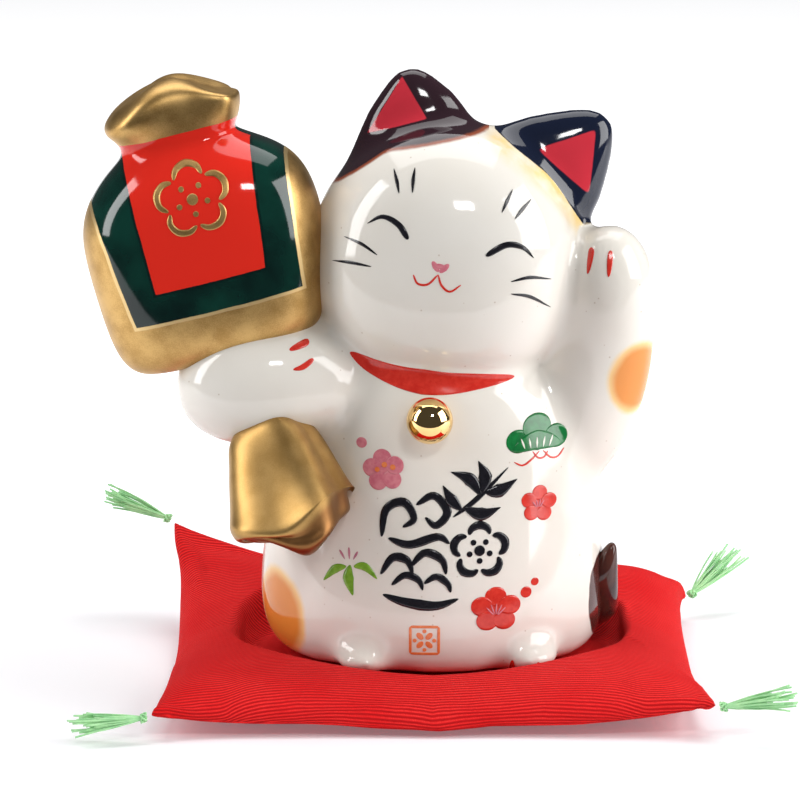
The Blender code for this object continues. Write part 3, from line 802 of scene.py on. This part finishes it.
MOUTH_HEIGHT = 6.0
GATHER_DEPTH = 0.12             # share by which the folds stand out
GATHER_TURN = math.radians(35.0)
HUMP = 4.4                      # the cloth stands this much higher near its middle
HUMP_X = 1.4
HUMP_HALF_WIDTH = 5.4
GOLD_DEEP = (0.40, 0.235, 0.075)
GOLD_LIGHT = (0.63, 0.405, 0.155)
GOLD_EDGE = (0.80, 0.60, 0.30)
FIELD_GREEN = (0.003, 0.040, 0.028)
FIELD_DEEP = (0.001, 0.010, 0.009)
CLOTH_RED = (0.78, 0.026, 0.014)


def gathers(angle, number):
    """Folds of the mouth above the tied neck: their swell and how far they stand up."""
    x, _, z, half_width, _ = DRUM[number]
    share = min(max((z - NECK_TOP) / MOUTH_HEIGHT, 0.0), 1.0)
    folds = math.cos(4.0 * (angle + GATHER_TURN)) + 0.5 * math.cos(7.0 * angle)
    off_hump = (x + half_width * math.cos(angle) - HUMP_X) / HUMP_HALF_WIDTH
    folds *= 1.0 - abs(math.cos(angle)) ** 6
    return 1.0 + GATHER_DEPTH * share * folds, HUMP * share * math.exp(-(off_hump ** 2))


def lustre(made, spot):
    """Satin gold brushed on by hand: fine sparkling grain over faint brush marks."""
    grain = made.noise(spot, 0.22, 2.0, 0.7)
    marks = made.noise(spot, 4.0, 3.0)
    colour = made.blend((marks * 0.6 + grain * 0.4).above(0.48, 0.18), GOLD_DEEP, GOLD_LIGHT)
    return colour, 0.31 + grain * 0.14 + marks * 0.08, grain * 0.25 + marks


drum_frame = leaning(*DRUM_FRAME)
drum_mould = moulded(DRUM, DRUM_SIDES, drum_frame, DRUM_SQUARENESS, gathers)
drum = new_piece("mallet", drum_mould, ROUNDING)
drum_finish = Finish("mallet_lustre_and_glaze")
spot = drum_finish.spot(drum_frame)
x, y, z = drum_finish.axes(spot)
waver = (drum_finish.noise(spot, 6.0) - 0.5) * 0.5
field = (x + 15.8 + z * 0.127).least(17.3 + z * 0.095 - x).least(z + 10.95).least(19.6 - z) + waver
cloth = (x + 9.5 + z * 0.02).soft_least(11.4 + z * 0.11 - x, 0.3).least(z + 5.6).least(20.6 - z) + waver
cloth = cloth.least(-2.0 - y)
on_field = field.above(0.0, 0.06)
on_cloth = cloth.above(0.0, 0.06)
painted = on_field.most(on_cloth)
gold, gold_roughness, gold_relief = lustre(drum_finish, spot)
edge_line = (0.30 - abs(field + 0.3)).above(0.0, 0.08)
colour = drum_finish.blend(edge_line * 0.8, gold, GOLD_EDGE)
green = drum_finish.blend(drum_finish.noise(spot, 9.0).above(0.5, 0.25), FIELD_DEEP, FIELD_GREEN)
colour = drum_finish.blend(on_field, colour, green)
outline = (0.35 - abs(cloth + 0.1)).above(0.0, 0.2) * 0.8
colour = drum_finish.blend(outline * on_field, colour, FIELD_DEEP)
colour = drum_finish.blend(on_cloth, colour, CLOTH_RED)
drum_finish.feed(
    base_color=colour,
    metallic=1.0 - painted,
    roughness=gold_roughness * (1.0 - painted) + painted * (0.05 + drum_finish.noise(spot, 5.0) * 0.05),
    normal=drum_finish.relief(gold_relief * (1.0 - painted * 0.75) + painted * 0.6, 0.03),
)
drum.data.materials.append(drum_finish.material)
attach(drum, "cat")
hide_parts("mallet_drum")

gold_enamel = Finish("brushed_gold", metallic=1.0)
brush_gold, brush_roughness, brush_relief = lustre(gold_enamel, gold_enamel.spot(drum_frame))
gold_enamel.feed(
    base_color=brush_gold,
    roughness=brush_roughness,
    normal=gold_enamel.relief(brush_relief, 0.02),
)
MOTIF_X = 1.2
MOTIF_Z = 9.4
MOTIF = [
    *petal_outlines(MOTIF_X, MOTIF_Z, (3.9, 3.7), (2.6, 2.5), (0.9, 1.25, 0.9, 6.0)),
    dab(MOTIF_X, MOTIF_Z, 1.0),
    *ring_of_dabs(MOTIF_X, MOTIF_Z, (2.7, 2.6), 5, 54.0, 0.5),
]
brushed("gold_blossom", MOTIF, surface_of(drum), gold_enamel, drum_frame)

# ---- Mallet foot ---------------------------------------------------------------------
# The skirt below the paw is a pressed clay moulding of a gathered cloth. It flares to a
# wavy lip, and a second, narrower layer closes it below. All of it is satin gold, and the
# lower layer, under the lip, is darkened towards brown as painted shade.
FOOT_FRAME = ((-26.8, -20.0, 41.2), -18.0, 24.0)
FOOT = (
    (0.2, 0.0, -9.4, 3.6, 3.6),
    (0.2, 0.0, -9.2, 7.6, 7.6),
    (0.2, 0.0, -8.6, 9.3, 9.3),
    (0.2, 0.0, -7.4, 9.7, 9.7),
    (0.2, 0.0, -6.7, 9.6, 9.6),
    (0.0, 0.0, -6.3, 10.9, 11.2),
    (0.0, 0.0, -5.6, 11.2, 11.6),
    (0.0, 0.0, -4.6, 10.8, 10.8),
    (0.0, 0.0, -1.6, 10.0, 9.2),
    (0.0, 0.0, 2.4, 9.2, 8.4),
    (-0.2, 0.0, 6.4, 8.2, 7.8),
    (-1.2, 0.0, 10.2, 6.8, 6.8),
    (-1.6, 0.0, 12.4, 3.6, 3.6),
)
FOOT_SIDES = 36
LIP_STATION = 5                 # the lip's lower edge: the second layer lies below it
LIP_HEIGHT = -5.6
# Each fold of the skirt: its angle in degrees, how far it stands out, and its width.
FOLDS = (
    (-55.0, 0.17, 18.0), (-30.0, -0.10, 14.0), (-8.0, 0.14, 17.0), (98.0, 0.14, 34.0),
    (180.0, 0.07, 26.0), (214.0, 0.16, 18.0), (260.0, -0.15, 24.0),
)
# How far the lip and the layer below it hang down, the angle where, and its width.
LIP_DROOP = (5.6, -98.0, 46.0)
LAYER_DROOP = (6.6, -80.0, 50.0)
UNDER_LIP_SHADE_BROWN = (0.20, 0.075, 0.028)


def bulge(angle, heading, width):
    """1 at a heading in degrees round a section, and 0 far from it."""
    apart = (math.degrees(angle) - heading + 180.0) % 360.0 - 180.0
    return math.exp(-((apart / width) ** 2))


def skirt_folds(angle, number):
    """Folds that die away towards the skirt's top, and the droop of its hem."""
    spread = 1.0 - 0.6 * number / len(FOOT) if number >= LIP_STATION else 0.4
    swell = sum(height * bulge(angle, heading, width) for heading, height, width in FOLDS)
    reach, heading, width = LIP_DROOP if number >= LIP_STATION else LAYER_DROOP
    share = min(max(FOOT[number][2] / LIP_HEIGHT, 0.0), 1.0)
    return 1.0 + swell * spread, -reach * share * bulge(angle, heading, width)


foot_mould = moulded(FOOT, FOOT_SIDES, leaning(*FOOT_FRAME), gain=skirt_folds)
foot = new_piece("mallet_skirt", foot_mould, ROUNDING)
gold_lustre = Finish("satin_gold_lustre", metallic=1.0)
spot = gold_lustre.spot()
gold, gold_roughness, gold_relief = lustre(gold_lustre, spot)
station = gold_lustre.add("ShaderNodeAttribute", {"attribute_name": "station"}, {}, 2)
# Painted shade: the layer below the lip is blended most of the way to a dark brown.
under_lip_shade = (LIP_STATION - 0.3 - station).above(0.0, 0.4) * 0.75
gold_lustre.feed(
    base_color=gold_lustre.blend(under_lip_shade, gold_lustre.blend(0.5, gold, GOLD_DEEP), UNDER_LIP_SHADE_BROWN),
    roughness=gold_roughness,
    normal=gold_lustre.relief(gold_relief, 0.03),
)
foot.data.materials.append(gold_lustre.material)
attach(foot, "cat")
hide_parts("mallet_foot")

# ---- Tail ----------------------------------------------------------------------------
# A solid roll of clay, luted round the cat's right flank and dipped in dark brown glaze.
TAIL = (
    (14.0, 24.5, 13.4, 2.6, 2.6),
    (22.5, 19.0, 12.8, 3.8, 3.8),
    (28.2, 11.5, 12.2, 4.2, 4.2),
    (30.4, 3.5, 12.6, 4.4, 4.2),
    (30.4, -2.5, 15.2, 4.0, 3.8),
    (31.2, -4.8, 20.0, 3.0, 3.0),
    (32.4, -5.2, 24.0, 1.7, 1.7),
    (33.2, -5.2, 26.6, 0.7, 0.7),
)
TAIL_BROWN = (0.030, 0.011, 0.012)
TAIL_THIN = (0.085, 0.028, 0.020)
tail = new_piece("tail_roll", moulded(TAIL, LIMB_SIDES), ROUNDING)
brown = Finish("dark_brown_glaze")
spot = brown.spot()
pooled = brown.noise(spot, 5.0, 4.0)
brown.feed(
    base_color=brown.blend(pooled.above(0.5, 0.2), TAIL_THIN, TAIL_BROWN),
    roughness=0.05 + pooled * 0.06,
    normal=brown.relief(brown.noise(spot, 5.0, 2.0), 0.04),
)
tail.data.materials.append(brown.material)
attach(tail, "cat")
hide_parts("tail")

# ---- Bell ----------------------------------------------------------------------------
# A ball turned in clay with a short stem, which is luted into the chest. Bright gold
# burnished to a mirror covers it.
BELL_RADIUS = 4.2
BELL_FACETS = 96
BELL_CENTRE = (-0.6, -24.2, 53.0)
STEM_FOOT = BELL_RADIUS * 0.955     # the ball is open behind this, where the stem goes in
STEM_LENGTH = 2.2
BRIGHT_GOLD = (0.93, 0.66, 0.30)
BRIGHT_SHADE = (0.86, 0.56, 0.22)
bell_form = bmesh.new()
profile = bmesh.ops.create_circle(bell_form, segments=BELL_FACETS, radius=BELL_RADIUS)["verts"]
half = [vert for vert in profile if vert.co.x < -0.001]
bmesh.ops.delete(bell_form, geom=half, context="VERTS")
bmesh.ops.spin(
    bell_form, geom=bell_form.verts[:] + bell_form.edges[:], cent=(0.0, 0.0, 0.0),
    axis=(0.0, 1.0, 0.0), angle=math.tau, steps=BELL_FACETS, use_merge=True,
)
bmesh.ops.remove_doubles(bell_form, verts=bell_form.verts, dist=0.01)
back = [face for face in bell_form.faces if face.calc_center_median().y > STEM_FOOT]
stem = bmesh.ops.extrude_face_region(bell_form, geom=back)["geom"]
stem_verts = [item for item in stem if isinstance(item, bmesh.types.BMVert)]
bmesh.ops.translate(bell_form, vec=(0.0, STEM_LENGTH, 0.0), verts=stem_verts)
bmesh.ops.delete(bell_form, geom=back, context="FACES_ONLY")
bmesh.ops.translate(bell_form, vec=BELL_CENTRE, verts=bell_form.verts)
bell = new_piece("chest_bell", bell_form)
mirror = Finish("bright_gold_lustre", metallic=1.0)
spot = mirror.spot()
mirror.feed(
    base_color=mirror.blend(mirror.noise(spot, 2.0), BRIGHT_SHADE, BRIGHT_GOLD),
    roughness=0.015 + mirror.noise(spot, 0.8) * 0.03,
    normal=mirror.relief(mirror.noise(spot, 2.5, 1.0), 0.008),
)
bell.data.materials.append(mirror.material)
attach(bell, "cat")
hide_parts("bell")

# ---- Cushion -------------------------------------------------------------------------
# Two squares of red ribbed cotton are sewn together round their edges, turned, and
# stuffed with cotton, with the ribs of both running left to right. The cat has pressed
# a seat into the middle, and the back left corner has been pulled up.
CUSHION_HALF_WIDTH = 50.0
CUSHION_HALF_DEPTH = 46.5
CUSHION_CELLS = 108             # cells along each side of a panel
SEAT_HEIGHT = 5.6               # cloth under the cat
CROWN_FRONT = 9.3               # top of the border at the front, and at the back
CROWN_BACK = 15.5
CORNER_RISE = 3.0               # extra height towards the corners
CORNER_FILL = 0.5               # share of a corner's lift that the filling follows
PLUMPNESS = 6                   # power of the profile across the top: more is boxier
SEAM_MIDDLE = 2.6               # height of the seam at the middle of a side
FLAT_REACH = 0.72               # share of the underside that lies flat
UNDERSIDE_CURVE = 1.6           # power of the curve from there to the seam
SIDE_PULL = 0.015               # how far the sides draw in between the corners
SEAT_HALF_WIDTH = 32.5
SEAT_HALF_DEPTH = 27.2
SEAT_RIM = 0.17                 # width of the slope round the seat, as a share of its radii
CORNER_TIP = 0.93               # past this share of the way out, a corner's tie holds the cloth
RIB_PITCH = 0.83
RIB_DEPTH = 0.10
THREAD_PITCH = 0.42
# Corner signs, seam height there, and the tassel's heading and pitch in degrees.
CORNERS = {
    "front_left": (-1, -1, 4.4, 186.0, -4.0),
    "front_right": (1, -1, 6.4, -8.0, 10.0),
    "back_left": (-1, 1, 19.5, 172.0, 20.0),
    "back_right": (1, 1, 4.4, 40.0, 32.0),
}
SIM_SCALE = 10.0                # the cloth is worked at ten times its size, where it is stable
SIM_FRAMES = 20
CLOTH_SPARE = 0.05              # share by which the cloth was cut larger than its stuffing
MOST_MOVED = 1.6                # furthest that the cloth may settle


def seam_height(u, v):
    """Height of the seam: the four corners are lifted, the middles of the sides are low."""
    corner = 0.0
    for sign_x, sign_y, height, *_ in CORNERS.values():
        corner += (1.0 + sign_x * u) * (1.0 + sign_y * v) / 4.0 * height
    return SEAM_MIDDLE + (corner - SEAM_MIDDLE) * (u * v) ** 2


def on_cushion(u, v, upper):
    """Point of the upper or the lower panel, and whether something holds it still."""
    x = CUSHION_HALF_WIDTH * u * (1.0 - SIDE_PULL * (1.0 - v * v))
    y = CUSHION_HALF_DEPTH * v * (1.0 - SIDE_PULL * (1.0 - u * u))
    seam = seam_height(u, v)
    tied = abs(u * v) > CORNER_TIP
    if not upper:
        edge = max(max(abs(u), abs(v)) - FLAT_REACH, 0.0) / (1.0 - FLAT_REACH)
        return Vector((x, y, seam * edge ** UNDERSIDE_CURVE)), tied or edge == 0.0
    crown = CROWN_FRONT + (CROWN_BACK - CROWN_FRONT) * (v + 1.0) / 2.0
    crown += (CORNER_RISE + max(seam - SEAM_MIDDLE, 0.0) * CORNER_FILL) * abs(u * v)
    reach = math.hypot(x / SEAT_HALF_WIDTH, y / SEAT_HALF_DEPTH)
    rim = min(max((reach - 1.0) / SEAT_RIM, 0.0), 1.0)
    rim = rim * rim * (3.0 - 2.0 * rim)
    filled = SEAT_HEIGHT + (crown - SEAT_HEIGHT) * rim
    fullness = math.sqrt((1.0 - u ** PLUMPNESS) * (1.0 - v ** PLUMPNESS))
    return Vector((x, y, seam + (filled - seam) * fullness)), tied or reach < 1.0


cushion_form = bmesh.new()
cut = cushion_form.loops.layers.uv.new("cut_cloth")
held = cushion_form.verts.layers.deform.verify()
for upper in (True, False):
    panel = bmesh.ops.create_grid(
        cushion_form, x_segments=CUSHION_CELLS, y_segments=CUSHION_CELLS, size=1.0
    )
    panel_faces = {face for vert in panel["verts"] for face in vert.link_faces}
    columns = {}
    for vert in panel["verts"]:
        columns.setdefault(round(vert.co.x, 4), []).append(vert)
    if not upper:
        bmesh.ops.reverse_faces(cushion_form, faces=list(panel_faces))
    length_along = {}
    for column in columns.values():
        column.sort(key=lambda vert: vert.co.y)
        points = [on_cushion(vert.co.x, vert.co.y, upper) for vert in column]
        lengths = [0.0]
        for (start, _), (end, _) in zip(points, points[1:]):
            lengths.append(lengths[-1] + (end - start).length)
        for vert, (point, still), length in zip(column, points, lengths):
            length_along[vert] = (point.x, length - lengths[-1] / 2.0)
            vert[held][0] = 1.0 if still else 0.0
            vert.co = point
    for face in panel_faces:
        for loop in face.loops:
            loop[cut].uv = length_along[loop.vert]
bmesh.ops.remove_doubles(cushion_form, verts=cushion_form.verts, dist=0.01)
cushion = new_piece("stuffed_cushion", cushion_form)
cushion.vertex_groups.new(name="held_still")
cushion.data.transform(Matrix.Scale(SIM_SCALE, 4))
stuffed = np.empty(len(cushion.data.vertices) * 3)
cushion.data.vertices.foreach_get("co", stuffed)
cloth = cushion.modifiers.new("settling", "CLOTH")
cloth.settings.quality = 6
cloth.settings.mass = 0.3
cloth.settings.tension_stiffness = 18.0
cloth.settings.compression_stiffness = 18.0
cloth.settings.bending_stiffness = 0.4
cloth.settings.shrink_min = -CLOTH_SPARE
cloth.settings.use_pressure = True
cloth.settings.uniform_pressure_force = 4.0
cloth.settings.vertex_group_mass = "held_still"
cloth.settings.effector_weights.gravity = 0.0
cloth.point_cache.frame_end = SIM_FRAMES
for step in range(1, SIM_FRAMES + 1):
    bpy.context.scene.frame_set(step)
settle(cushion)
bpy.context.scene.frame_set(1)
settled = np.empty_like(stuffed)
cushion.data.vertices.foreach_get("co", settled)
moved = (settled - stuffed).reshape(-1, 3)
far = np.linalg.norm(moved, axis=1, keepdims=True)
limit = MOST_MOVED * MM * SIM_SCALE
moved *= limit * np.tanh(far / limit) / np.maximum(far, 1e-9)
cushion.data.vertices.foreach_set("co", (stuffed.reshape(-1, 3) + moved).ravel())
cushion.data.transform(Matrix.Scale(1.0 / SIM_SCALE, 4))
finer = cushion.modifiers.new("rounding", "SUBSURF")
finer.levels = 1
finer.render_levels = 1
settle(cushion)

CLOTH_RED_GROOVE_SHADE = (0.42, 0.004, 0.006)
CLOTH_RED_FACE = (0.74, 0.006, 0.008)
CLOTH_RED_WORN = (0.92, 0.045, 0.040)
ribbed = Finish("red_ribbed_cotton", roughness=0.85, sheen_weight=0.03, sheen_roughness=0.4)
ribbed.shader.inputs["Sheen Tint"].default_value = (1.0, 0.45, 0.42, 1.0)
ribbed.shader.inputs["Specular IOR Level"].default_value = 0.15
weave = ribbed.add("ShaderNodeUVMap", {"uv_map": "cut_cloth"}, {})
across, along, _ = ribbed.axes(weave)
slub = ribbed.add("ShaderNodeTexNoise", {}, {"Vector": weave, "Scale": 0.25, "Detail": 3.0})
drift = (slub - 0.5) * 0.35
rib = 0.5 + 0.5 * ((along + drift) * (math.tau / RIB_PITCH)).sine()
weft = 0.5 + 0.5 * ((across + along * 0.3) * (math.tau / THREAD_PITCH)).sine()
spot = ribbed.spot()
fluff = ribbed.noise(spot, 0.5, 4.0, 0.7)
# Painted shade: the grooves between the ribs are darkened to a deeper red.
colour = ribbed.blend((rib * 1.3).least(1.0), CLOTH_RED_GROOVE_SHADE, CLOTH_RED_FACE)
worn = (rib * 0.5 + fluff * 0.5).above(0.62, 0.2) * ribbed.noise(spot, 14.0).above(0.45, 0.2)
colour = ribbed.blend(worn * 0.6, colour, CLOTH_RED_WORN)
ribbed.feed(
    base_color=colour,
    normal=ribbed.relief(rib + weft * rib * 0.30 + fluff * 0.35, RIB_DEPTH),
)
cushion.data.materials.clear()
cushion.data.materials.append(ribbed.material)
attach(cushion, "cushion")
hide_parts("cushion_top_panel", "cushion_bottom_panel", "cushion_wadding")

# ---- Tassels -------------------------------------------------------------------------
# A hank of pale green cotton thread is drawn through each corner and tied in a tight
# knot, and its cut ends fan out behind the knot.
TASSEL_LENGTH = 13.0
KNOT_RADIUS = 1.1
KNOT_GAP = 0.3
KNOT_WRAPS = 3
WRAP_POINTS = 15
WRAP_WIDTH = 0.55               # half the length of the knot along the hank
WRAP_DIP = 0.22                 # share by which a wrap goes in and out
WRAP_SHIFT = 2.1                # turn of each wrap against the last
THREAD_RADIUS = 0.18
STRANDS = 34
STRAND_POINTS = 9
FAN_SPREAD = 0.30               # widest fan, as a share of the thread's length
FAN_WIDTH = 1.15                # the fan is wider than it is high
FAN_HEIGHT = 0.55
CURL = 0.55
THREAD_GREEN = (0.20, 0.56, 0.22)
THREAD_PALE = (0.50, 0.84, 0.44)
thread_green = Finish("pale_green_thread", roughness=0.75, sheen_weight=0.3)
spot = thread_green.spot()
ply = thread_green.noise(spot, 0.35, 3.0, 0.6)
pale = thread_green.noise(spot, 2.5).above(0.5, 0.25) * 0.6 + ply * 0.4
thread_green.feed(
    base_color=thread_green.blend(pale, THREAD_GREEN, THREAD_PALE),
    normal=thread_green.relief(ply, 0.05),
)
rng = random.Random(7)


def thread(curve, points, closed=False):
    """Adds one thread to a curve through its points."""
    spline = curve.splines.new("NURBS")
    spline.points.add(len(points) - 1)
    for row, point in zip(spline.points, points):
        row.co = (*point, 1.0)
    spline.order_u = 4
    spline.use_endpoint_u = not closed
    spline.use_cyclic_u = closed


for corner, (sign_x, sign_y, height, heading, pitch) in CORNERS.items():
    outward = Vector((sign_x, sign_y, 0.0)).normalized()
    tip = Vector((sign_x * CUSHION_HALF_WIDTH, sign_y * CUSHION_HALF_DEPTH, height))
    knot = tip + outward * (KNOT_RADIUS + KNOT_GAP)
    turn = Euler((0.0, math.radians(-pitch), math.radians(heading))).to_matrix()
    hank = bpy.data.curves.new("hank_" + corner, "CURVE")
    hank.dimensions = "3D"
    hank.bevel_depth = THREAD_RADIUS
    hank.bevel_resolution = 1
    hank.resolution_u = 3
    hank.use_fill_caps = True
    for lay in range(KNOT_WRAPS):
        wrap = []
        for step in range(WRAP_POINTS):
            a = math.tau * step / WRAP_POINTS
            shift = lay * WRAP_SHIFT
            reach = 1.0 - WRAP_DIP + WRAP_DIP * math.cos(3.0 * a + shift)
            radius = (KNOT_RADIUS - THREAD_RADIUS) * reach
            slant = WRAP_WIDTH * math.sin(2.0 * a + shift)
            wrapped = Vector((slant, radius * math.cos(a), radius * math.sin(a)))
            wrap.append(knot + turn @ wrapped)
        thread(hank, wrap, closed=True)
    for strand in range(STRANDS):
        angle = math.tau * strand / STRANDS
        fan = FAN_SPREAD * math.sqrt(rng.random())
        length = TASSEL_LENGTH * rng.uniform(0.62, 1.0)
        curl = Vector((0.0, rng.uniform(-1.0, 1.0), rng.uniform(-1.0, 1.0)))
        points = [knot + turn @ Vector((-0.5, 0.0, 0.0))]
        for step in range(STRAND_POINTS):
            share = (step + 1) / STRAND_POINTS
            spread = 0.35 + fan * length * share ** 0.8
            bend = curl * math.sin(share * 3.4) * CURL * share
            side = Vector((0.0, math.cos(angle) * FAN_WIDTH, math.sin(angle) * FAN_HEIGHT)) * spread
            points.append(knot + turn @ (Vector((0.4 + length * share, 0.0, 0.0)) + side + bend))
        for point in points:
            point.z = max(point.z, THREAD_RADIUS + 0.05)
        thread(hank, points)
    drawn = bpy.data.objects.new("hank_" + corner, hank)
    bpy.context.scene.collection.objects.link(drawn)
    bpy.context.view_layer.update()
    graph = bpy.context.evaluated_depsgraph_get()
    threads = bmesh.new()
    threads.from_mesh(bpy.data.meshes.new_from_object(drawn.evaluated_get(graph), depsgraph=graph))
    bmesh.ops.remove_doubles(threads, verts=threads.verts, dist=0.002)
    bpy.data.objects.remove(drawn)
    tassel = new_piece("thread_" + corner, threads)
    tassel.data.materials.clear()
    tassel.data.materials.append(thread_green.material)
    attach(tassel, "tassel_" + corner)
    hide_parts("tassel_" + corner)

# ---- Studio --------------------------------------------------------------------------
# A white table that runs far back and glows with painted light, a tall soft light at each
# side, one above and behind, a small one in front, and a long lens a little above the cat.
TABLE_SIZE = 6.0
TABLE_FRONT = -0.14             # the table ends here, and the dark room shows in the glaze
TABLE_GAP = 0.0002
TABLE_SHADE = (0.86, 0.86, 0.88)
TABLE_WHITE = (0.88, 0.88, 0.90)
TABLE_GLOW = 0.62
TABLE_GLOW_NEAR = (0.22, 0.22, 0.24)     # share of the glow round the cushion, where shadows fall
TABLE_GLOW_FAR = (1.0, 1.0, 1.0)
floor_form = bmesh.new()
bmesh.ops.create_grid(floor_form, x_segments=4, y_segments=4, size=TABLE_SIZE / 2.0)
below_cushion = (0.0, TABLE_FRONT + TABLE_SIZE / 2.0, -TABLE_GAP)
bmesh.ops.translate(floor_form, vec=below_cushion, verts=floor_form.verts)
floor = new_piece("table_top", floor_form, scale=1.0)
glowing_table = Finish("glowing_table", roughness=0.55)
spot = glowing_table.spot()
from_middle = ellipsoid(glowing_table.axes(spot), (0.0, 0.0, 0.0), (1.0, 1.0, 1.0))
# Painted light: the table top glows, weakly round the cushion and fully further off, so the far table
# stays white and lights the cat from below.
far_glow = from_middle.above(175.0, 130.0)
glowing_table.feed(
    base_color=glowing_table.blend(glowing_table.noise(spot, 60.0), TABLE_SHADE, TABLE_WHITE),
    emission_color=glowing_table.blend(far_glow, TABLE_GLOW_NEAR, TABLE_GLOW_FAR),
)
glowing_table.shader.inputs["Emission Strength"].default_value = TABLE_GLOW
floor.data.materials.append(glowing_table.material)


def soft_light(name, place, aim, width, height, power, colour=(1.0, 1.0, 1.0)):
    """Rectangular soft box that faces a point."""
    light = bpy.data.lights.new(name, "AREA")
    light.shape = "RECTANGLE"
    light.size = width
    light.size_y = height
    light.energy = power
    light.color = colour
    lamp = bpy.data.objects.new(name, light)
    lamp.location = place
    lamp.rotation_euler = (Vector(aim) - Vector(place)).to_track_quat("-Z", "Y").to_euler()
    bpy.context.scene.collection.objects.link(lamp)


MIDDLE = (-0.0059, 0.0, 0.0521)     # what the lights and the camera face
soft_light("box_left", (-0.80, -0.20, 0.45), MIDDLE, 0.24, 0.80, 4.8)
soft_light("box_right", (0.70, -0.20, 0.35), MIDDLE, 0.50, 0.60, 5.8)
soft_light("box_above", (0.0, 0.35, 1.1), (0.0, 0.15, 0.0), 1.2, 0.9, 9.4)
soft_light("box_front", (0.25, -0.9, 0.75), MIDDLE, 0.22, 0.14, 2.8)

ROOM_COLOUR = (0.95, 0.97, 1.0, 1.0)
ROOM_LIGHT = 0.07
world = bpy.data.worlds.new("studio")
world.use_nodes = True
world.node_tree.nodes["Background"].inputs["Color"].default_value = ROOM_COLOUR
world.node_tree.nodes["Background"].inputs["Strength"].default_value = ROOM_LIGHT
bpy.context.scene.world = world
bpy.context.scene.view_settings.view_transform = "Standard"

CAMERA_DISTANCE = 0.9
CAMERA_RISE = math.radians(11.0)
LENS_LENGTH = 220.7
lens = bpy.data.cameras.new("camera")
lens.lens = LENS_LENGTH
lens.clip_start = 0.01
camera = bpy.data.objects.new("camera", lens)
toward_camera = Vector((0.0, -math.cos(CAMERA_RISE), math.sin(CAMERA_RISE)))
camera.location = Vector(MIDDLE) + CAMERA_DISTANCE * toward_camera
camera.rotation_euler = (math.pi / 2.0 - CAMERA_RISE, 0.0, 0.0)
bpy.context.scene.collection.objects.link(camera)
bpy.context.scene.camera = camera
